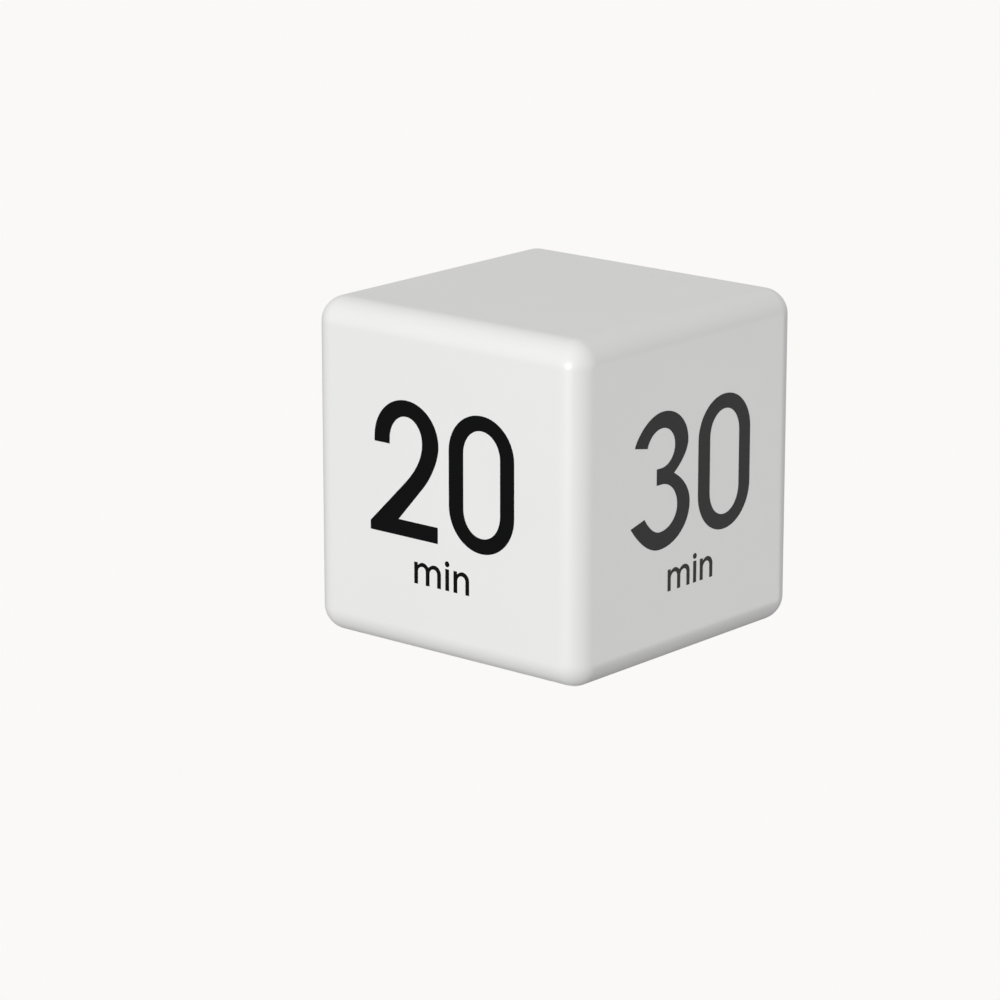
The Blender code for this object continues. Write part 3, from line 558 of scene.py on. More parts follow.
def turned(profile, at, along, steps=48):
    """A solid turned from (distance, radius) points about the axis that starts at a point and runs a way."""
    at, along = Vector(at), Vector(along).normalized()
    side = along.orthogonal().normalized()
    bm = bmesh.new()
    spots = [bm.verts.new(at + along * distance + side * radius) for distance, radius in profile]
    for a, b in zip(spots, spots[1:]):
        bm.edges.new((a, b))
    bmesh.ops.spin(bm, geom=bm.verts[:] + bm.edges[:], cent=at, axis=along, angle=math.tau, steps=steps,
                   use_merge=True)
    bmesh.ops.remove_doubles(bm, verts=bm.verts, dist=1e-7)
    bmesh.ops.recalc_face_normals(bm, faces=bm.faces)
    return bm


def solder_joint(x, y, z, up):
    """A cone of solder that has wetted its pad and drawn up round a wire."""
    radius, height = SOLDER
    return turned([(0, 0), (0, radius), (height * 0.35, radius * 0.72), (height * 0.75, radius * 0.42),
                   (height, radius * 0.2), (height, 0)], (x, y, z), (0, 0, up), 20)


# Solder mask on glass fibre: dark green and glossy, with lighter tracks
circuit = printed_circuit()
# Tin solder: bright silver, slightly grained as it froze
solder = worked_metal("tin_solder", "#CDCFD0", "#B4B7B9", 0.28, lines=0.0003)

cutters = []
beyond = (BOARD_Z[0] - BEYOND, BOARD_Z[1] + BEYOND)
for sx in (-1, 1):
    for sy in (-1, 1):
        notch = [either_side(s, BOARD_NOTCH, CUBE / 2) for s in (sx, sy)]
        cutters.append(block(*notch, beyond, NOTCH_CORNER))
        boss = (sx * BOARD_SCREW[0], sy * BOARD_SCREW[1])
        cutters.append(rod((*boss, beyond[0]), (*boss, beyond[1]), BOARD_HOLE))
panel = carve(block(span(0, BOARD_HALF), span(0, BOARD_HALF), BOARD_Z), cutters)
fit(make_piece("main_panel", panel, circuit, BOARD_EDGE), "case", "circuit_board", "main_board")
pin_x = [PIN_ROW_HALF * (2 * i / (PIN_COUNT - 1) - 1) for i in range(PIN_COUNT)]
joints = gather([solder_joint(x, y, BOARD_Z[0], -1) for x in pin_x for y in (-PIN_ROW_Y, PIN_ROW_Y)])
fit(make_piece("display_solder_joints", joints, solder), "case", "nickel_plate")


# Small screws: pan heads with a cross recess and a rolled thread that cuts its own way into the plastic
# bosses, in zinc-plated steel. Four hold the main board and two the switch board.

SMALL_SCREW = {"head": (0.0015, 0.0011), "thread": (0.0006, 0.0008, 0.0005), "length": 0.0052}
SCREW_GAP = 0.0002
BOARD_SCREW_Z = BOARD_Z[0] - SCREW_GAP
CORNERS = ((-1, -1), (1, -1), (1, 1), (-1, 1))
THREAD_STEPS = 16


def rolled_thread(root, crest, pitch, start, end):
    """A threaded bar from start to end along Z: one pitch of its side, swept round and upwards."""
    bm = bmesh.new()
    side = [(root, 0), (root, 0.3), (crest, 0.6), (crest, 0.7), (root, 1)]
    spots = [bm.verts.new((radius, 0, start + (part - 2) * pitch)) for radius, part in side]
    for a, b in zip(spots, spots[1:]):
        bm.edges.new((a, b))
    turns = math.ceil((end - start) / pitch) + 3
    bmesh.ops.spin(bm, geom=bm.verts[:] + bm.edges[:], cent=(0, 0, 0), axis=(0, 0, 1),
                   angle=turns * math.tau, dvec=(0, 0, pitch / THREAD_STEPS), steps=turns * THREAD_STEPS)
    bmesh.ops.remove_doubles(bm, verts=bm.verts, dist=1e-7)
    for height, up in ((start, -1), (end, 1)):
        bmesh.ops.bisect_plane(bm, geom=bm.verts[:] + bm.edges[:] + bm.faces[:], plane_co=(0, 0, height),
                               plane_no=(0, 0, up), clear_outer=True)
    bmesh.ops.holes_fill(bm, edges=[e for e in bm.edges if e.is_boundary], sides=0)
    bmesh.ops.recalc_face_normals(bm, faces=bm.faces)
    return bm


def cross_recess_screw(head, thread, length):
    """A screw along Z with the underside of its head at zero and its tip at length."""
    radius, height = head
    root, crest, pitch = thread
    dome = [(-height, 0), (-height, radius * 0.5), (-height * 0.88, radius * 0.8),
            (-height * 0.6, radius * 0.97), (-height * 0.35, radius), (0, radius), (0, 0)]
    tip = length - crest * 1.6
    screw = carve(turned(dome, (0, 0, 0), (0, 0, 1)), [
        rolled_thread(root, crest, pitch, -height * 0.2, tip),
        rod((0, 0, tip - 0.0001), (0, 0, length), root * 0.98, 24, root * 0.2)], "UNION")
    depth = (-height - BEYOND, -height * 0.45)
    arm = (span(0, radius * 0.6), span(0, radius * 0.12))
    return carve(screw, [
        block(*arm, depth), block(*reversed(arm), depth),
        rod((0, 0, -height - 0.00001), (0, 0, -height * 0.4), radius * 0.22, 16, radius * 0.08)])


def drive_in(name, screw, at, node, up=1):
    """A copy of a screw at a place, pointing up or down, in place of its plain node."""
    placed = screw.copy()
    turn = Matrix.Identity(4) if up > 0 else Matrix.Rotation(math.pi, 4, "X")
    bmesh.ops.transform(placed, matrix=Matrix.Translation(at) @ turn, verts=placed.verts)
    fit(make_piece(name, placed, zinc_steel), "case", "zinc_screw", node)


# Zinc-plated steel: cool grey, with the faint lines of the turned head
zinc_steel = worked_metal("zinc_plated_steel", "#BDC0C4", "#A3A7AC", 0.3, (1.0, 1.0, 0.15))
small_screw = cross_recess_screw(**SMALL_SCREW)
for number, (sx, sy) in enumerate(CORNERS, 1):
    at = (sx * BOARD_SCREW[0], sy * BOARD_SCREW[1], BOARD_SCREW_Z)
    drive_in(f"panel_screw_{number}", small_screw, at, f"board_screw_{number}")


# Parts under the main board: two chips in black moulded epoxy on gull-wing legs, a clock crystal in a drawn
# can, and a small electrolytic capacitor in a shrunk PVC sleeve. All are soldered to the underside.

LEGS_A_SIDE = {"controller_chip": 10, "display_driver_chip": 8}
LEG_PITCH = 0.00127
LEG_WIDTH = 0.0004
LEG_THICKNESS = 0.00018
LEG_REACH = 0.0011
CHIP_EDGE = 0.00012
CHIP_LIFT = 0.0001
PIN_ONE_DOT = (0.0011, 0.0005, 0.0001)
END_NOTCH = 0.0006
CRYSTAL_LEAD = 0.00012
CRYSTAL_LEAD_SPREAD = 0.0004
CAPACITOR = (-0.0215, 0.0085)
VENT = (0.0014, 0.00012, 0.0001)


def bent_strip(path, width, thickness):
    """A strip of sheet metal that follows a path of points, with its width along X."""
    bm = bmesh.new()
    spots = [bm.verts.new(Vector(point) - Vector((width / 2, 0, 0))) for point in path]
    for a, b in zip(spots, spots[1:]):
        bm.edges.new((a, b))
    across = bmesh.ops.extrude_edge_only(bm, edges=bm.edges[:])["geom"]
    bmesh.ops.translate(bm, vec=(width, 0, 0), verts=[v for v in across if isinstance(v, bmesh.types.BMVert)])
    bmesh.ops.solidify(bm, geom=bm.faces[:], thickness=thickness)
    bmesh.ops.recalc_face_normals(bm, faces=bm.faces)
    return bm


def wires(name, routes, radius, material):
    """Round wires along smooth routes through the points given, as one piece."""
    curve = bpy.data.curves.new(name, "CURVE")
    curve.dimensions = "3D"
    curve.resolution_u = 8
    curve.bevel_depth = radius
    curve.bevel_resolution = 3
    curve.use_fill_caps = True
    for route in routes:
        spline = curve.splines.new("BEZIER")
        spline.bezier_points.add(len(route) - 1)
        for spot, point in zip(spline.bezier_points, route):
            spot.co = point
            spot.handle_left_type = spot.handle_right_type = "AUTO"
    mesh = curve_mesh(name, curve)
    bm = bmesh.new()
    bm.from_mesh(mesh)
    bpy.data.meshes.remove(mesh)
    return make_piece(name, bm, material, sharp=50)


# Transfer-moulded epoxy: black and slightly rough, as a chip's case is
black_epoxy = moulded_plastic("black_moulded_epoxy", "#1A1A1B", "#121213", 0.6, 0.00018, 0.000008)
# Tinned copper: the bright legs and leads
tinned_copper = worked_metal("tinned_copper", "#C9CACB", "#B1B3B5", 0.26, (1.0, 1.0, 0.2))

for node, count in LEGS_A_SIDE.items():
    low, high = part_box(node)
    middle = (low + high) / 2
    case_y = (low.y + LEG_REACH, high.y - LEG_REACH)
    inset, dot_radius, dot_depth = PIN_ONE_DOT
    dot = (low.x + inset, case_y[0] + inset)
    package = carve(block((low.x, high.x), case_y, (low.z, high.z - CHIP_LIFT)), [
        rod((*dot, low.z - BEYOND), (*dot, low.z + dot_depth), dot_radius, 24),
        rod((low.x, middle.y, low.z - BEYOND), (low.x, middle.y, high.z), END_NOTCH, 24)])
    fit(make_piece(node + "_package", package, black_epoxy, CHIP_EDGE), "case", "black_plastic", node)
    legs = []
    for side, face, tip in ((-1, case_y[0], low.y), (1, case_y[1], high.y)):
        root, knee, foot = face - side * 0.0002, face + side * 0.00035, face + side * 0.0006
        for i in range(count):
            x = middle.x + (i - (count - 1) / 2) * LEG_PITCH
            path = [(x, root, middle.z), (x, knee, middle.z), (x, foot, high.z), (x, tip, high.z)]
            legs.append(bent_strip(path, LEG_WIDTH, LEG_THICKNESS))
    fit(make_piece(node + "_legs", gather(legs), tinned_copper), "case", "nickel_plate")

low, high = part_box("clock_crystal")
start = Vector((low.x, (low.y + high.y) / 2, (low.z + high.z) / 2))
radius = (high.z - low.z) / 2
length = high.x - low.x
crystal_can = turned([
    (0, 0), (0, radius * 0.8), (0.0001, radius), (0.0004, radius), (0.0005, radius * 0.93),
    (length - 0.0003, radius * 0.93), (length - 0.0001, radius * 0.8), (length, radius * 0.6), (length, 0)],
    start, (1, 0, 0), 32)
nickel_can = worked_metal("drawn_nickel_silver", "#CFCBC0", "#B9B5AA", 0.25, (0.1, 1.0, 1.0))
fit(make_piece("crystal_can", crystal_can, nickel_can), "case", "nickel_plate", "clock_crystal")
crystal_leads = []
for s in (-1, 1):
    out = start + Vector((0, s * CRYSTAL_LEAD_SPREAD, 0))
    crystal_leads.append([out + Vector((0.0002, 0, 0)), out - Vector((0.0007, 0, 0)),
                          (out.x - 0.001, out.y, BOARD_Z[0])])
fit(wires("crystal_leads", crystal_leads, CRYSTAL_LEAD, tinned_copper), "case", "nickel_plate")

low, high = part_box("supply_capacitor")
radius = (high.x - low.x) / 2
height = high.z - low.z
can = turned([
    (0, 0), (0, radius * 0.8), (0.0002, radius * 0.92), (height - 0.0016, radius * 0.92),
    (height - 0.0013, radius * 0.84), (height - 0.001, radius * 0.92), (height - 0.0002, radius * 0.9),
    (height, radius * 0.8), (height, 0)], (*CAPACITOR, low.z), (0, 0, 1))
vent_long, vent_narrow, vent_depth = VENT
vent_z = (low.z - BEYOND, low.z + vent_depth)
can = carve(can, [block(span(CAPACITOR[0], half_x), span(CAPACITOR[1], half_y), vent_z)
                  for half_x, half_y in ((vent_long, vent_narrow), (vent_narrow, vent_long))])
aluminium = worked_metal("drawn_aluminium", "#C5C7CA", "#AEB1B5", 0.34, (1.0, 1.0, 0.2))
fit(make_piece("capacitor_can", can, aluminium), "case", "nickel_plate", "supply_capacitor")
sleeve = turned([
    (0.00008, radius * 0.82), (0.00002, radius * 0.86), (0.0002, radius * 0.97), (0.0005, radius),
    (height - 0.0018, radius), (height - 0.0013, radius * 0.9), (height - 0.0009, radius),
    (height - 0.0002, radius * 0.97), (height - 0.0002, radius * 0.93), (height - 0.0009, radius * 0.94),
    (height - 0.0013, radius * 0.86), (height - 0.0018, radius * 0.94), (0.0004, radius * 0.94),
    (0.00008, radius * 0.82)], (*CAPACITOR, low.z), (0, 0, 1))
# Shrunk PVC film: smooth and glossy, drawn tight
dark_sleeve = moulded_plastic("shrunk_pvc_film_dark", "#23252B", "#1B1D22", 0.28, 0.0009, 0.000006)
fit(make_piece("capacitor_sleeve", sleeve, dark_sleeve, clean=False), "case", "black_plastic")


# Tilt switches: four drawn and nickel-plated cans that lie under the board and point out to the four side
# faces. Each is closed by a black plug with two pins, and a brass ball rolls onto the pins when its plug is
# lowest.

TILT_START = 0.0125
TILT_LENGTH = 0.010
TILT_RADIUS = 0.0027
TILT_WALL = 0.0004
TILT_Z = 0.0507
TILT_PLUG = 0.0025
BALL_RADIUS = 0.0019
PIN_SPREAD = 0.0011
PIN_RADIUS = 0.0002
PIN_STAND = 0.0004
PIN_BEND = 0.0012

tilt_nickel = worked_metal("drawn_nickel_plated_steel", "#D2D0C9", "#BDBBB4", 0.22, lines=0.0003)
# Brass ball: tumbled smooth, warm yellow with a light haze
ball_brass = worked_metal("tumbled_brass", "#CDA955", "#B8923F", 0.18, lines=0.0004)

inner = TILT_RADIUS - TILT_WALL
end_wall = TILT_LENGTH - TILT_WALL
can_profile = [
    (0, inner), (0.0001, TILT_RADIUS - 0.0001), (0.0004, TILT_RADIUS), (0.0008, TILT_RADIUS),
    (0.001, TILT_RADIUS - 0.00015), (0.0013, TILT_RADIUS - 0.00015), (0.0015, TILT_RADIUS),
    (TILT_LENGTH - 0.0007, TILT_RADIUS), (TILT_LENGTH - 0.0002, TILT_RADIUS - 0.0002),
    (TILT_LENGTH, TILT_RADIUS - 0.0007), (TILT_LENGTH, 0),
    (end_wall, 0), (end_wall, inner - 0.0003), (end_wall - 0.0003, inner), (0, inner)]
plug_profile = [
    (-0.0002, 0), (-0.0002, inner * 0.6), (0.0, inner - 0.0004), (0.0002, inner - 0.0001),
    (TILT_PLUG - 0.0002, inner - 0.0001), (TILT_PLUG, inner - 0.0003), (TILT_PLUG, 0)]
for number in range(1, 5):
    turn = Matrix.Rotation((number - 1) * math.pi / 2, 4, "Z")
    way = turn @ Vector((1, 0, 0))
    across = turn @ Vector((0, 1, 0))
    mouth = way * TILT_START + Vector((0, 0, TILT_Z))
    can = turned(can_profile, mouth, way)
    fit(make_piece(f"tilt_case_{number}", can, tilt_nickel), "case", "nickel_plate", f"tilt_can_{number}")
    plug = turned(plug_profile, mouth, way)
    fit(make_piece(f"tilt_plug_{number}", plug, black_abs), "case", "black_plastic", f"tilt_base_{number}")
    pins = []
    for s in (-1, 1):
        pin = mouth + across * s * PIN_SPREAD
        outside = pin - way * PIN_BEND
        pins.append([pin + way * (TILT_PLUG + PIN_STAND), pin - way * PIN_BEND / 2,
                     outside + Vector((0, 0, PIN_BEND / 2)), outside + Vector((0, 0, BOARD_Z[0] - TILT_Z))])
    fit(wires(f"tilt_pins_{number}", pins, PIN_RADIUS, tinned_copper), "case", "nickel_plate")
    low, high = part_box(f"tilt_ball_{number}")
    ball = bmesh.new()
    bmesh.ops.create_icosphere(ball, subdivisions=4, radius=BALL_RADIUS,
                               matrix=Matrix.Translation((low + high) / 2))
    fit(make_piece(f"rolling_ball_{number}", ball, ball_brass), f"ball_{number}", "brass",
        f"tilt_ball_{number}")


# Base cover: the white ABS plate that closes the cube, moulded with the battery bay, the switch slots, the
# sound slots and the seats for its four screws. It sits inside the shell's bottom fillet, so the seam does
# not show from the side.

COVER_EDGE = 0.00012
DOOR_RECESS_HALF = 0.0265
DOOR_RECESS_Y = (-0.0031, 0.0215)
DOOR_RECESS_TOP = 0.0022
DOOR_RECESS_CORNER = 0.0006
FINGER_NOTCH = (span(0, 0.005), (-0.006, -0.0025), (-BEYOND, 0.0014), 0.0012)
BAY_HALF = 0.0254
BAY_Y = (-0.003, 0.0209)
BAY_TOP = 0.0136
BAY_WALL = 0.001
HINGE = (0.0226, 0.0015)
HINGE_HALF = 0.0201
HINGE_SLOT_END = 0.0248
HINGE_SLOT_TOP = 0.0034
PIN_BORE = 0.00085
PIN_BORE_END = 0.0226
SCREW_SEAT = (0.00245, 0.00205)
SWITCHES = {"power": (-0.0105, -0.0099), "sound": (-0.0105, -0.0201)}
SWITCH_SLOT = (0.0047, 0.0018)
SWITCH_BOARD_Z = (0.0086, 0.0098)
SWITCH_BOARD_SCREWS = ((-0.0185, -0.015), (-0.0025, -0.015))
SWITCH_BORE_BOTTOM = 0.0043
BUZZER = (0.014, -0.0155)
BUZZER_RING = (0.01, 0.0088, 0.0036)
SOUND_SLOTS = 5
SOUND_SLOT_PITCH = 0.0028
SOUND_SLOT = (0.0055, 0.0006)
TAB_SLOT = (0.0006, 0.0013)
MARK_DEPTH = 0.00025
MARK_LINE = 0.00042
MARK_X = 0.0075
MARK_HALF = 0.0011
BAR_PITCH = 0.0008
BAR_STEP = 0.0006


def moulded_marks():
    """Cutters for the marks by the switches: a ring and a bar for off and on, rising bars for the sound."""
    z = span(0, MARK_DEPTH)
    x, y = SWITCHES["power"]
    ring = carve(rod((x - MARK_X, y, z[0]), (x - MARK_X, y, z[1]), MARK_HALF, 32), [
        rod((x - MARK_X, y, z[0] - BEYOND), (x - MARK_X, y, z[1] + BEYOND), MARK_HALF - MARK_LINE, 32)])
    marks = [ring, block(span(x + MARK_X, MARK_LINE / 2), span(y, MARK_HALF), z, 0.0001, 3)]
    x, y = SWITCHES["sound"]
    for side, bars in ((-1, 1), (1, 3)):
        for i in range(bars):
            at = x + side * MARK_X + (i - (bars - 1) / 2) * BAR_PITCH
            foot = y - 0.001
            bar = (foot, foot + BAR_PITCH + i * BAR_STEP)
            marks.append(block(span(at, MARK_LINE / 2), bar, z, 0.0001, 3))
    return gather(marks)


cover_half = CAVITY - COVER_GAP
under = (-BEYOND, 5 * BEYOND)
cover = carve(rounded_cube(), [block(span(0, cover_half), span(0, cover_half), (-BEYOND, COVER_TOP),
                                     EDGE_RADIUS - WALL - COVER_GAP)], "INTERSECT")
ring_radius, ring_hollow, ring_top = BUZZER_RING
cover = carve(cover, [
    block(span(0, BAY_HALF + BAY_WALL), (BAY_Y[0] - BAY_WALL, BAY_Y[1] + BAY_WALL),
          (COVER_TOP - BEYOND, BAY_TOP + BAY_WALL)),
    rod((*BUZZER, COVER_TOP - BEYOND), (*BUZZER, ring_top), ring_radius),
    *[rod((*boss, COVER_TOP - BEYOND), (*boss, SWITCH_BOARD_Z[0] - COVER_GAP), BOSS_RADIUS)
      for boss in SWITCH_BOARD_SCREWS]], "UNION")
openings = [
    block(span(0, BAY_HALF), BAY_Y, (-BEYOND, BAY_TOP)),
    block(span(0, DOOR_RECESS_HALF), DOOR_RECESS_Y, (-BEYOND, DOOR_RECESS_TOP), DOOR_RECESS_CORNER),
    block(*FINGER_NOTCH),
    block(span(0, HINGE_HALF + COVER_GAP), (BAY_Y[1] - BEYOND, HINGE_SLOT_END), (-BEYOND, HINGE_SLOT_TOP)),
    rod((-PIN_BORE_END, *HINGE), (CUBE / 2, *HINGE), PIN_BORE, 24),
    rod((*BUZZER, COVER_TOP), (*BUZZER, 6 * BEYOND), ring_hollow),
]
for sx in (-1, 1):
    for sy in (-1, 1):
        corner = (sx * COVER_SCREW, sy * COVER_SCREW)
        openings.append(rod((*corner, -BEYOND), (*corner, SCREW_SEAT[1]), SCREW_SEAT[0]))
        openings.append(rod((*corner, 0), (*corner, 5 * BEYOND), COVER_SCREW_BORE))
for x, y in SWITCHES.values():
    openings.append(block(span(x, SWITCH_SLOT[0]), span(y, SWITCH_SLOT[1]), under, 0.0005))
for boss in SWITCH_BOARD_SCREWS:
    openings.append(rod((*boss, SWITCH_BORE_BOTTOM), (*boss, SWITCH_BOARD_Z[1]), BOARD_HOLE))
for row in range(SOUND_SLOTS):
    y = BUZZER[1] + (row - (SOUND_SLOTS - 1) / 2) * SOUND_SLOT_PITCH
    openings.append(block(span(BUZZER[0], SOUND_SLOT[0]), span(y, SOUND_SLOT[1]), under, 0.00055))
for node in ("negative_contact", "positive_contact"):
    middle = sum(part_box(node), Vector()) / 2
    openings.append(block(span(middle.x, TAB_SLOT[0]), span(middle.y, TAB_SLOT[1]),
                          (BAY_TOP - BEYOND, BAY_TOP + BAY_WALL + BEYOND)))
openings.append(moulded_marks())
cube_base = make_piece("cube_base", carve(cover, openings), white_abs, COVER_EDGE)
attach(cube_base, "case")
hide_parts("base_cover")


# Battery contacts: plates and conical springs in nickel-plated spring steel, pressed into the ends of the
# bay. Two plates have a solder tab that passes up through the bay's roof, and the third bridges both cells.

CONTACT_X = (0.0248, 0.0252)
CONTACT_Z = (0.0038, 0.0119)
CONTACT_HALF = 0.004
CONTACT_CORNER = 0.0009
CONTACT_EDGE = 0.00005
TAB_HALF = 0.001
TAB_TOP = 0.0168
TAB_HOLE = 0.0004
CELL_Y = {"a": 0.0042, "b": 0.0152}
CELL_Z = 0.00785
SPRING_WIRE = 0.00025
SPRING_RADII = (0.0034, 0.0018)
SPRING_X = (0.02435, 0.02035)
SPRING_TURNS = 4.25
CLOSED_TURNS = 0.75
DIMPLE = (0.0016, 0.0011, 0.00014)

# Nickel-plated spring steel: warm silver, rolled along its length
spring_steel = worked_metal("nickel_plated_spring_steel", "#D0CEC7", "#BAB8B1", 0.22, (1.0, 0.2, 1.0))


def pressed_plate(side, y, tabs, dimples):
    """A plate at one end of the bay, with stamped corners, solder tabs up and dimples towards the cells."""
    x = either_side(side, *CONTACT_X)
    flat = block(CONTACT_Z, y, x, CONTACT_CORNER)
    upright = Matrix(((0, 0, 1, 0), (0, 1, 0, 0), (1, 0, 0, 0), (0, 0, 0, 1)))
    bmesh.ops.transform(flat, matrix=upright, verts=flat.verts)
    bmesh.ops.recalc_face_normals(flat, faces=flat.faces)
    extras = [block(x, span(at, TAB_HALF), (CONTACT_Z[1] - BEYOND, TAB_TOP)) for at in tabs]
    inner, (wide, narrow, height) = side * CONTACT_X[0], DIMPLE
    extras += [rod((inner + side * 0.0001, at, CELL_Z), (inner - side * height, at, CELL_Z), wide, 32, narrow)
               for at in dimples]
    hole_z = TAB_TOP - TAB_HALF
    return carve(carve(flat, extras, "UNION"), [
        rod((x[0] - BEYOND, at, hole_z), (x[1] + BEYOND, at, hole_z), TAB_HOLE, 16) for at in tabs])


def conical_spring(side, y):
    """The points of a coil that lies closed on its plate, then opens and narrows to the cell's flat end."""
    points = []
    count = int(SPRING_TURNS * 16)
    for i in range(count + 1):
        turns = SPRING_TURNS * i / count
        open_part = max(0.0, (turns - CLOSED_TURNS) / (SPRING_TURNS - CLOSED_TURNS))
        radius = SPRING_RADII[0] + (SPRING_RADII[1] - SPRING_RADII[0]) * open_part
        x = side * (SPRING_X[0] + (SPRING_X[1] - SPRING_X[0]) * open_part)
        angle = turns * math.tau
        points.append((x, y + radius * math.cos(angle), CELL_Z + radius * math.sin(angle)))
    return points


both = (CELL_Y["a"] - CONTACT_HALF, CELL_Y["b"] + CONTACT_HALF)
plates = {
    "bridge_contact": pressed_plate(1, both, [], [CELL_Y["a"]]),
    "negative_contact": pressed_plate(-1, span(CELL_Y["a"], CONTACT_HALF), [CELL_Y["a"]], []),
    "positive_contact": pressed_plate(-1, span(CELL_Y["b"], CONTACT_HALF), [CELL_Y["b"]], [CELL_Y["b"]]),
}
for node, plate in plates.items():
    fit(make_piece(node + "_plate", plate, spring_steel, CONTACT_EDGE), "case", "nickel_plate", node)
for node, side, cell in (("bridge_spring", 1, "b"), ("negative_spring", -1, "a")):
    coil = wires(node + "_coil", [conical_spring(side, CELL_Y[cell])], SPRING_WIRE, spring_steel)
    fit(coil, "case", "nickel_plate", node)


# Batteries: two AAA cells turned end for end. Each is a nickel-plated steel can in a shrunk PVC sleeve whose
# lips fold over its ends, slate grey with a bright band towards the plus end.

CELL_LENGTH = 0.0445
CELL_RADIUS = 0.00525
CAN_RADIUS = 0.0051
NIPPLE = (0.0019, 0.001)
BAND_LENGTH = 0.011
BAND_BLUR = 0.00004
STRIPE = (0.0012, 0.0003)
FILM_THICKNESS = 0.00006


def sleeve_film(name, plus_way):
    """Shrunk PVC film: glossy slate-grey print, a silver band at the plus end, and faint shrink ripples."""
    material, place = start_material(name, IOR=1.54, Coat_Weight=0.3, Coat_Roughness=0.12)
    along = add_node(material, "SeparateXYZ", {"Vector": place}).outputs["X"]
    edge = plus_way * (CELL_LENGTH / 2 - BAND_LENGTH)
    blur = plus_way * BAND_BLUR
    band = add_node(material, "MapRange", {"Value": along, "From Min": edge - blur, "From Max": edge + blur})
    back, half_width = STRIPE
    stripe = add_node(material, "Math", {0: along, 1: edge - plus_way * back, 2: half_width},
                      operation="COMPARE")
    bright = add_node(material, "Math", {0: band.outputs["Result"], 1: stripe.outputs[0]},
                      operation="MAXIMUM")
    ripples = add_node(material, "TexNoise", {"Vector": place, "Scale": 1 / 0.0025, "Detail": 2.0})
    slate = add_node(material, "MixRGB", {
        "Fac": ripples.outputs["Fac"], "Color1": linear("#2E3C47"), "Color2": linear("#384955")})
    colour = add_node(material, "MixRGB", {
        "Fac": bright.outputs[0], "Color1": slate.outputs["Color"], "Color2": linear("#B7BCC0")})
    gloss = add_node(material, "MapRange", {"Value": ripples.outputs["Fac"], "To Min": 0.22, "To Max": 0.36})
    bump = add_node(material, "Bump", {
        "Height": ripples.outputs["Fac"], "Strength": 0.3, "Distance": 0.00003})
    return finish_material(material, Base_Color=colour.outputs["Color"], Roughness=gloss.outputs["Result"],
                           Normal=bump.outputs["Normal"])


# Nickel-plated steel of the cell's ends: bright, with turned rings too fine to count
cell_steel = worked_metal("nickel_plated_deep_drawn_steel", "#CDCDCB", "#B9B9B6", 0.24)
nipple_radius, nipple_height = NIPPLE
shoulder = CELL_LENGTH - nipple_height
can_profile = [
    (0.0002, 0), (0.0002, 0.0021), (0.0, 0.0024), (0.0, 0.0041), (0.0002, 0.0045), (0.0004, 0.0049),
    (0.0008, CAN_RADIUS), (shoulder - 0.0008, CAN_RADIUS), (shoulder - 0.0003, CAN_RADIUS - 0.0002),
    (shoulder - 0.0001, 0.0044), (shoulder - 0.0003, 0.0034), (shoulder - 0.0002, nipple_radius + 0.0003),
    (shoulder, nipple_radius), (CELL_LENGTH - 0.00025, nipple_radius),
    (CELL_LENGTH - 0.00006, nipple_radius - 0.0001), (CELL_LENGTH, nipple_radius - 0.0003), (CELL_LENGTH, 0)]
film_inner = CELL_RADIUS - FILM_THICKNESS
wrap_profile = [
    (0.00005, 0.0044), (0.00002, 0.0047), (0.0002, 0.0051), (0.0005, CELL_RADIUS),
    (shoulder - 0.0005, CELL_RADIUS), (shoulder - 0.0002, 0.0051), (shoulder, 0.0046), (shoulder, 0.0043),
    (shoulder - FILM_THICKNESS, 0.0043), (shoulder - FILM_THICKNESS, 0.0046), (shoulder - 0.0003, 0.005),
    (shoulder - 0.0006, film_inner), (0.0006, film_inner), (0.0003, 0.005), (0.00012, 0.0047),
    (0.00012, 0.0044), (0.00005, 0.0044)]
for cell, way in (("a", 1), ("b", -1)):
    node = f"battery_{cell}"
    low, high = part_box(node)
    flat_end = (low.x if way > 0 else high.x, CELL_Y[cell], CELL_Z)
    can = turned(can_profile, flat_end, (way, 0, 0), 56)
    fit(make_piece(f"cell_{cell}_can", can, cell_steel), "case", "nickel_plate", node)
    wrap = turned(wrap_profile, flat_end, (way, 0, 0), 56)
    film = sleeve_film(f"shrunk_pvc_sleeve_{cell}", way)
    fit(make_piece(f"cell_{cell}_sleeve", wrap, film, clean=False), "case", "cell_wrap")


# Battery door: a white ABS plate with ribs inside, a finger grip and an arrow moulded in its face, a barrel
# that turns on a steel pin, and a springy latch tongue that catches behind the edge of the bay.

DOOR_HALF = 0.0261
DOOR_Y = (-0.0026, 0.0205)
DOOR_Z = (0.0004, 0.0019)
DOOR_CORNER = 0.0006
DOOR_EDGE = 0.0001
BARREL = 0.0013
LATCH_HALF = 0.004
LATCH_Y = (-0.0022, -0.0014)
LATCH_TOP = 0.0055
CATCH_RADIUS = 0.0004
CATCH_DROP = 0.0009
RIB_X = (-0.024, -0.008, 0.008, 0.024)
RIB_HALF = 0.0004
RIB_HEIGHT = 0.0004
GRIP_LINES = 5
GRIP_PITCH = 0.0008
GRIP_HALF = 0.006
GRIP_DEPTH = 0.00025
ARROW_Y = 0.0062
ARROW = (0.0024, 0.0019, 0.0004)


def door_arrow():
    """A three-sided cutter that points to the hinge."""
    half, height, depth = ARROW
    bm = bmesh.new()
    place = Matrix.Translation((0, ARROW_Y, DOOR_Z[0])) @ Matrix.Diagonal((half, height, 1, 1))
    bmesh.ops.create_cone(bm, cap_ends=True, segments=3, radius1=1, radius2=1, depth=2 * depth, matrix=place)
    return bm


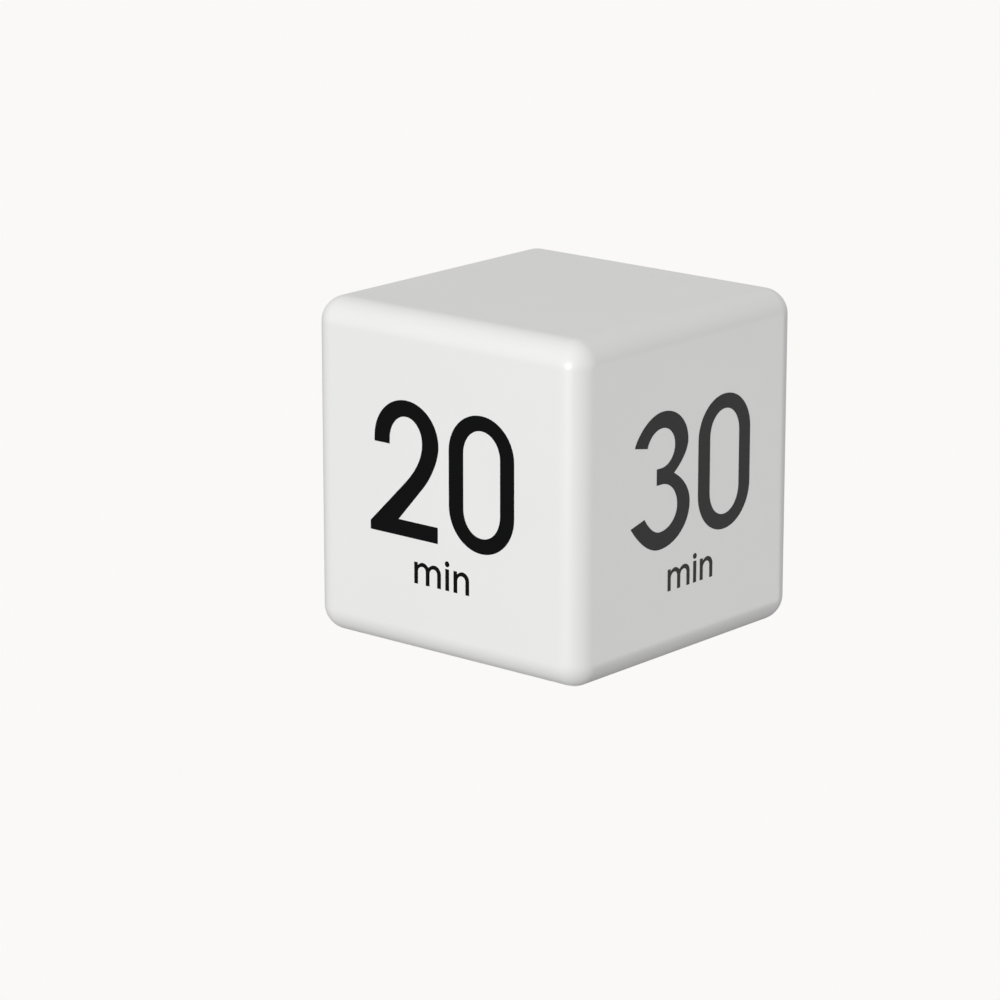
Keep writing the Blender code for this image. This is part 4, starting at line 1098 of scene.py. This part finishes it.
def across_door(half, at, radius, sides):
    """A round bar along X, from one side to the other, at a place in Y and Z."""
    return rod((-half, *at), (half, *at), radius, sides)


catch = (LATCH_Y[0] + 0.0001, LATCH_TOP - CATCH_DROP)
additions = [
    block(span(0, HINGE_HALF), (DOOR_Y[1] - BEYOND, HINGE[0]), DOOR_Z),
    across_door(HINGE_HALF, HINGE, BARREL, 40),
    block(span(0, LATCH_HALF), LATCH_Y, (DOOR_Z[1] - BEYOND / 2, LATCH_TOP)),
    across_door(LATCH_HALF, catch, CATCH_RADIUS, 24),
]
rib_y = (DOOR_Y[0] + 0.0012, DOOR_Y[1] - 0.0004)
rib_z = (DOOR_Z[1] - 0.0003, DOOR_Z[1] + RIB_HEIGHT)
additions += [block(span(x, RIB_HALF), rib_y, rib_z) for x in RIB_X]
lid = carve(block(span(0, DOOR_HALF), DOOR_Y, DOOR_Z, DOOR_CORNER), additions, "UNION")
grooves = [across_door(HINGE_HALF + 10 * BEYOND, HINGE, PIN_BORE, 32)]
for i in range(GRIP_LINES):
    y = DOOR_Y[0] + 0.0019 + i * GRIP_PITCH
    half = GRIP_HALF - i * GRIP_PITCH / 2
    grooves.append(block(span(0, half), span(y, GRIP_PITCH / 4), span(DOOR_Z[0], GRIP_DEPTH), 0.00015, 3))
grooves.append(door_arrow())
battery_lid = make_piece("battery_lid", carve(lid, grooves), white_abs, DOOR_EDGE)
fit(battery_lid, "door", "white_abs", "battery_door")

# Hinge pin: drawn steel wire with chamfered ends, pressed into the cover at one side
low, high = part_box("door_hinge_pin")
radius = (high.z - low.z) / 2
length = high.x - low.x
chamfer = 0.0002
pin = turned([
    (0, 0), (0, radius * 0.6), (chamfer, radius), (length - chamfer, radius), (length, radius * 0.6),
    (length, 0)], (low.x, *HINGE), (1, 0, 0), 24)
drawn_wire = worked_metal("drawn_steel_wire", "#C9C8C4", "#B3B2AE", 0.2, (0.05, 1.0, 1.0))
fit(make_piece("hinge_pin", pin, drawn_wire), "case", "nickel_plate", "door_hinge_pin")


# Slide switches: folded steel frames over a black plug with six terminals, and a slider whose stem sits in
# a grey cap. The caps have finger ridges and slide in the cover's slots, one for power and one for how loud
# the buzzer is.

FINE_EDGE = 0.00006
SWITCH_HALF = (0.0045, 0.002)
SWITCH_SHELL = 0.0003
SWITCH_Z = (0.0052, 0.0083)
STEM_SLOT = (0.0032, 0.0011)
FRAME_WINDOW_X = 0.0018
FRAME_WINDOW_HALF = 0.0005
FRAME_WINDOW_Z = (0.0069, 0.0074)
TERMINAL_X = (-0.0025, 0.0, 0.0025)
TERMINAL_Y = 0.0009
TERMINAL_HALF = (0.0003, 0.00015)
TERMINAL_SINK = 0.0002
TERMINAL_TOP = 0.0101
SLIDER_HALF = (0.0015, 0.0012)
SLIDER_GAP = 0.0002
STEM_HALF = 0.0008
STEM_BOTTOM = 0.0021
CAP_FLANGE_Z = (0.0031, 0.0039)
CAP_FLANGE = (0.006, 0.0022)
CAP_KNOB = (0.0022, 0.0014)
CAP_BOTTOM = 0.0006
CAP_EDGE = 0.0001
STEM_SOCKET = 0.001
RIDGE_PITCH = 0.0008
RIDGE_HALF = 0.0002
RIDGE_DEPTH = 0.0003

# Tinned steel sheet of the frames: bright with rolling lines along the switch
tinned_steel = worked_metal("tinned_steel_sheet", "#C6C8C9", "#AEB0B2", 0.27, (0.15, 1.0, 1.0))
# Grey ABS of the caps: satin, slightly cool
grey_abs = moulded_plastic("grey_abs_moulded", "#4A4C50", "#424448", 0.46)


def centred(at, half, z, corner=0.0, corner_steps=8):
    """A block round a point, from its half sizes in X and Y and its limits in Z."""
    return block(span(at[0], half[0]), span(at[1], half[1]), z, corner, corner_steps)


for kind, at in SWITCHES.items():
    bottom, top = SWITCH_Z
    inside = [half - SWITCH_SHELL for half in SWITCH_HALF]
    windows = [centred((at[0] + s * FRAME_WINDOW_X, at[1]), (FRAME_WINDOW_HALF, 0.003), FRAME_WINDOW_Z)
               for s in (-1, 1)]
    frame_shell = carve(centred(at, SWITCH_HALF, SWITCH_Z, 0.0004, 4), [
        centred(at, inside, (bottom + SWITCH_SHELL, top + BEYOND)),
        centred(at, STEM_SLOT, (bottom - BEYOND, bottom + BEYOND), 0.0003, 4), *windows])
    fit(make_piece(f"{kind}_frame", frame_shell, tinned_steel, FINE_EDGE), "case", "nickel_plate",
        f"{kind}_switch_frame")

    plug_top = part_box(f"{kind}_switch_base")[1].z
    spots = [(at[0] + x, at[1] + s * TERMINAL_Y) for x in TERMINAL_X for s in (-1, 1)]
    sink = plug_top - TERMINAL_SINK
    plug = carve(box_block(f"{kind}_switch_base", 0.0002, 3), [
        centred(spot, (0.0005, 0.0003), (sink, plug_top + BEYOND)) for spot in spots])
    fit(make_piece(f"{kind}_plug", plug, black_abs, FINE_EDGE), "case", "black_plastic",
        f"{kind}_switch_base")
    terminals = gather([centred(spot, TERMINAL_HALF, (sink, TERMINAL_TOP)) for spot in spots])
    fit(make_piece(f"{kind}_terminals", terminals, tinned_copper, 0.00004), "case", "nickel_plate")

    low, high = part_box(f"{kind}_switch_actuator")
    rest = ((low.x + high.x) / 2, at[1])
    slider = centred(rest, SLIDER_HALF, (bottom + SWITCH_SHELL + SLIDER_GAP, high.z), 0.0002, 3)
    stem = centred(rest, (STEM_HALF, STEM_HALF), (STEM_BOTTOM, bottom + BEYOND), 0.0002, 3)
    slider = carve(carve(slider, [stem], "UNION"), [
        centred(rest, (0.0009, 0.002), (high.z - 0.0003, high.z + BEYOND))])
    fit(make_piece(f"{kind}_slide_block", slider, black_abs, FINE_EDGE), f"{kind}_slider", "black_plastic",
        f"{kind}_switch_actuator")

    knob = centred(rest, CAP_KNOB, (CAP_BOTTOM, CAP_FLANGE_Z[0] + 0.0004), 0.0004, 5)
    cap = carve(centred(rest, CAP_FLANGE, CAP_FLANGE_Z, 0.0004, 4), [knob], "UNION")
    cuts = [centred(rest, (STEM_SOCKET, STEM_SOCKET), (STEM_BOTTOM - SLIDER_GAP, CAP_FLANGE_Z[1] + BEYOND))]
    for i in (-1.5, -0.5, 0.5, 1.5):
        cuts.append(centred((rest[0] + i * RIDGE_PITCH, rest[1]), (RIDGE_HALF, 0.002),
                            (CAP_BOTTOM - BEYOND, CAP_BOTTOM + RIDGE_DEPTH)))
    fit(make_piece(f"{kind}_cap", carve(cap, cuts), grey_abs, CAP_EDGE), f"{kind}_slider", "grey_plastic",
        f"{kind}_switch_cap")


# Switch board: a small board on two bosses of the cover that carries both switches, soldered on its upper
# side, with two small screws.

TERMINAL_HOLE = 0.00042

low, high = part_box("switch_board")
board = block((low.x, high.x), (low.y, high.y), SWITCH_BOARD_Z, 0.0006)
beyond = (SWITCH_BOARD_Z[0] - BEYOND, SWITCH_BOARD_Z[1] + BEYOND)
spots = [(x + at, y + s * TERMINAL_Y) for x, y in SWITCHES.values() for at in TERMINAL_X for s in (-1, 1)]
holes = [rod((*spot, beyond[0]), (*spot, beyond[1]), TERMINAL_HOLE, 16) for spot in spots]
holes += [rod((*spot, beyond[0]), (*spot, beyond[1]), BOARD_HOLE, 32) for spot in SWITCH_BOARD_SCREWS]
fit(make_piece("switch_panel", carve(board, [gather(holes)]), circuit, BOARD_EDGE), "case", "circuit_board",
    "switch_board")
joints = gather([solder_joint(*spot, SWITCH_BOARD_Z[1], 1) for spot in spots])
fit(make_piece("switch_solder_joints", joints, solder), "case", "nickel_plate")
for number, spot in enumerate(SWITCH_BOARD_SCREWS, 1):
    at = (*spot, SWITCH_BOARD_Z[1] + SCREW_GAP)
    drive_in(f"switch_panel_screw_{number}", small_screw, at, f"switch_board_screw_{number}", -1)


# Buzzer: a rolled brass disc that rests on the cover's ring over the sound slots, with a fired piezo ceramic
# bonded to it. The ceramic's upper face carries a printed silver electrode that the red lead is soldered to.

BUZZER_EDGE = 0.00006
ELECTRODE_RADIUS = 0.0062
ELECTRODE_HEIGHT = 0.00004

# Rolled brass sheet: yellow, with lines one way and a light tarnish in clouds
brass_sheet = worked_metal("rolled_brass_sheet", "#CFA94F", "#B08A3B", 0.26, (0.08, 1.0, 1.0))
# Fired ceramic: off white, matt and finely grained
fired_ceramic = moulded_plastic("fired_piezo_ceramic", "#DAD6C9", "#CBC6B7", 0.55, 0.00015, 0.000006)
silver_print = worked_metal("fired_silver_print", "#D6D6D3", "#C2C2BE", 0.42, lines=0.0003)


def coin(bottom, top, radius, edge):
    """A thin round plate over the sound slots, with its rims broken by edge."""
    thickness = top - bottom
    return turned([(0, 0), (0, radius - edge), (edge, radius), (thickness - edge, radius),
                   (thickness, radius - edge), (thickness, 0)], (*BUZZER, bottom), (0, 0, 1), 64)


for node, name, material, slot in (("buzzer_disc", "buzzer_plate", brass_sheet, "brass"),
                                   ("buzzer_ceramic", "buzzer_element", fired_ceramic, "piezo_ceramic")):
    low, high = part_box(node)
    plate = coin(low.z, high.z, (high.x - low.x) / 2, BUZZER_EDGE)
    fit(make_piece(name, plate, material), "case", slot, node)
electrode = coin(high.z, high.z + ELECTRODE_HEIGHT, ELECTRODE_RADIUS, ELECTRODE_HEIGHT / 4)
fit(make_piece("buzzer_electrode", electrode, silver_print), "case", "nickel_plate")


# Leads: stranded copper in soft PVC, red for plus and black for minus, soldered at both ends. Two carry the
# battery's current up to the main board and two come from the buzzer. A grey flat cable joins the two
# boards.

LEAD_RADIUS = 0.0006
BOARD_UNDER = BOARD_Z[0] - 0.0003
TAB_X = -0.025
TAB_LEAD_Z = 0.0171
CERAMIC_LEAD_Z = 0.0049
BRASS_LEAD_Z = 0.0044
BRASS_LEAD_X = 0.0085
CERAMIC_SOLDER_Z = 0.00464
BRASS_SOLDER_Z = 0.0041
RIBBON_CORES = 6
RIBBON_PITCH = 0.001
RIBBON_X = -0.0105
RIBBON_CORE_RADIUS = 0.00045
RIBBON_ROUTE = ((-0.007, 0.0101), (-0.007, 0.016), (-0.011, 0.027), (-0.013, 0.038), (-0.011, 0.048),
                (-0.011, BOARD_UNDER))


def battery_route(y, end_y):
    return [(TAB_X, y, TAB_LEAD_Z), (TAB_X, y, 0.021), (TAB_X - 0.0008, y, 0.030),
            (TAB_X - 0.0006, end_y, 0.042), (TAB_X, end_y, 0.049), (TAB_X, end_y, BOARD_UNDER)]


def buzzer_route(x, z, end_x):
    y = BUZZER[1]
    return [(x, y, z), (x, y, 0.009), (x - 0.001, y + 0.001, 0.020), (end_x + 0.003, y + 0.001, 0.034),
            (end_x, y, 0.047), (end_x, y, BOARD_UNDER)]


# Soft PVC insulation: satin, with slow faint waves from the extruder
red_pvc = moulded_plastic("extruded_pvc_red", "#B3231F", "#A31E1B", 0.42, 0.0011, 0.00001)
black_pvc = moulded_plastic("extruded_pvc_black", "#1B1B1C", "#151516", 0.42, 0.0011, 0.00001)
grey_pvc = moulded_plastic("extruded_pvc_grey", "#9EA0A3", "#939598", 0.45, 0.0011, 0.00001)

brass_x = BUZZER[0] + BRASS_LEAD_X
leads = {
    "battery_lead_black": (black_pvc, "wire_black", battery_route(CELL_Y["a"], 0.005)),
    "battery_lead_red": (red_pvc, "wire_red", battery_route(CELL_Y["b"], 0.0135)),
    "buzzer_lead_1": (red_pvc, "wire_red", buzzer_route(BUZZER[0], CERAMIC_LEAD_Z, 0.009)),
    "buzzer_lead_2": (black_pvc, "wire_black", buzzer_route(brass_x, BRASS_LEAD_Z, 0.013)),
}
for node, (insulation, slot, route) in leads.items():
    fit(wires(node + "_wire", [route], LEAD_RADIUS, insulation), "case", slot, node)
ends = [solder_joint(*route[-1][:2], BOARD_Z[0], -1) for _, _, route in leads.values()]
ends += [solder_joint(*BUZZER, CERAMIC_SOLDER_Z, 1), solder_joint(brass_x, BUZZER[1], BRASS_SOLDER_Z, 1)]
fit(make_piece("lead_solder_joints", gather(ends), solder), "case", "nickel_plate")

cores = []
for i in range(RIBBON_CORES):
    x = RIBBON_X + (i - (RIBBON_CORES - 1) / 2) * RIBBON_PITCH
    cores.append([(x, y, z) for y, z in RIBBON_ROUTE])
fit(wires("flat_cable", cores, RIBBON_CORE_RADIUS, grey_pvc), "case", "ribbon_grey", "ribbon_cable")


# Cover screws: four longer pan heads of the same kind, driven up through seats in the base cover into the
# shell's corner pillars.

LONG_SCREW = {"head": (0.0022, 0.0012), "thread": (0.00085, 0.0012, 0.0008), "length": 0.0117}
LONG_SCREW_Z = 0.0018

long_screw = cross_recess_screw(**LONG_SCREW)
for number, (sx, sy) in enumerate(CORNERS, 1):
    at = (sx * COVER_SCREW, sy * COVER_SCREW, LONG_SCREW_Z)
    drive_in(f"base_screw_{number}", long_screw, at, f"cover_screw_{number}")
for screw in (small_screw, long_screw):
    screw.free()


# Studio: a plain pale floor, one large soft light to the left of the camera, a weak low one behind the
# cube's right side that greys the ink of the 30 min face, and an even surround that is darker below.

CENTRE = Vector((0, 0, CUBE / 2))
PALE = "#FAF9F7"
LOWER_LEVEL = 0.26
UPPER_LEVEL = 0.64
LIGHT_DISTANCE = 1.2
LIGHT_SIZE = 0.5
FLOOR_HALF = 3.0


def away(azimuth, elevation):
    """The direction from the cube to a place round it. Azimuth 0 is in front of the 20 min face."""
    a, e = math.radians(azimuth), math.radians(elevation)
    return Vector((math.sin(a) * math.cos(e), -math.cos(a) * math.cos(e), math.sin(e)))


def soft_light(name, azimuth, elevation, watts):
    """A round soft light that faces the cube and can't be seen itself."""
    lamp = bpy.data.lights.new(name, "AREA")
    lamp.shape = "DISK"
    lamp.size = LIGHT_SIZE
    lamp.energy = watts
    light = bpy.data.objects.new(name, lamp)
    direction = away(azimuth, elevation)
    light.visible_camera = False
    light.location = CENTRE + direction * LIGHT_DISTANCE
    light.rotation_euler = direction.to_track_quat("Z", "Y").to_euler()
    bpy.context.scene.collection.objects.link(light)


def pale_floor():
    """A floor that is evenly pale to the eye from above, and open from below so that the underside shows."""
    material = bpy.data.materials.new("pale_studio_floor")
    material.use_nodes = True
    material.node_tree.nodes.clear()
    glow = add_node(material, "Emission", {"Color": linear(PALE), "Strength": 1.0})
    clear = add_node(material, "BsdfTransparent")
    below = add_node(material, "NewGeometry").outputs["Backfacing"]
    seen = add_node(material, "LightPath").outputs["Is Camera Ray"]
    other = add_node(material, "Math", {0: 1.0, 1: seen}, operation="SUBTRACT")
    open_way = add_node(material, "Math", {0: below, 1: other.outputs[0]}, operation="MAXIMUM")
    both = add_node(material, "MixShader", {0: open_way.outputs[0], 1: glow.outputs[0], 2: clear.outputs[0]})
    add_node(material, "OutputMaterial", {"Surface": both.outputs[0]})
    return material


bm = bmesh.new()
bmesh.ops.create_grid(bm, x_segments=1, y_segments=1, size=FLOOR_HALF)
mesh = bpy.data.meshes.new("studio_floor")
bm.to_mesh(mesh)
bm.free()
mesh.materials.append(pale_floor())
floor = bpy.data.objects.new("studio_floor", mesh)
bpy.context.scene.collection.objects.link(floor)

soft_light("key_light", 11, 6, 7.2)
soft_light("low_rim", 140, -14, 1.25)

world = bpy.data.worlds.new("studio_surround")
world.use_nodes = True
world.node_tree.nodes.clear()
outward = add_node(world, "TexCoord").outputs["Generated"]
height = add_node(world, "SeparateXYZ", {"Vector": outward}).outputs["Z"]
level = add_node(world, "MapRange", {
    "Value": height, "From Min": -0.1, "From Max": 0.1, "To Min": LOWER_LEVEL, "To Max": UPPER_LEVEL})
dim = add_node(world, "Background", {"Color": (1.0, 1.0, 1.0, 1.0), "Strength": level.outputs["Result"]})
bright = add_node(world, "Background", {"Color": linear(PALE), "Strength": 1.0})
seen = add_node(world, "LightPath").outputs["Is Camera Ray"]
surround = add_node(world, "MixShader", {0: seen, 1: dim.outputs[0], 2: bright.outputs[0]})
add_node(world, "OutputWorld", {"Surface": surround.outputs[0]})
bpy.context.scene.world = world
bpy.context.scene.view_settings.view_transform = "Standard"

CAMERA_AZIMUTH = 40.44
CAMERA_ELEVATION = 15.17
CAMERA_DISTANCE = 0.797
CAMERA_LENS = 151.5
CAMERA_AIM = (-0.01041, -0.00776)

back = away(CAMERA_AZIMUTH, CAMERA_ELEVATION)
turn = back.to_track_quat("Z", "Y")
aim = CENTRE + turn @ Vector((*CAMERA_AIM, 0))
lens = bpy.data.cameras.new("camera")
lens.lens = CAMERA_LENS
lens.sensor_width = 36
camera = bpy.data.objects.new("camera", lens)
camera.location = aim + back * CAMERA_DISTANCE
camera.rotation_euler = turn.to_euler()
bpy.context.scene.collection.objects.link(camera)
bpy.context.scene.camera = camera
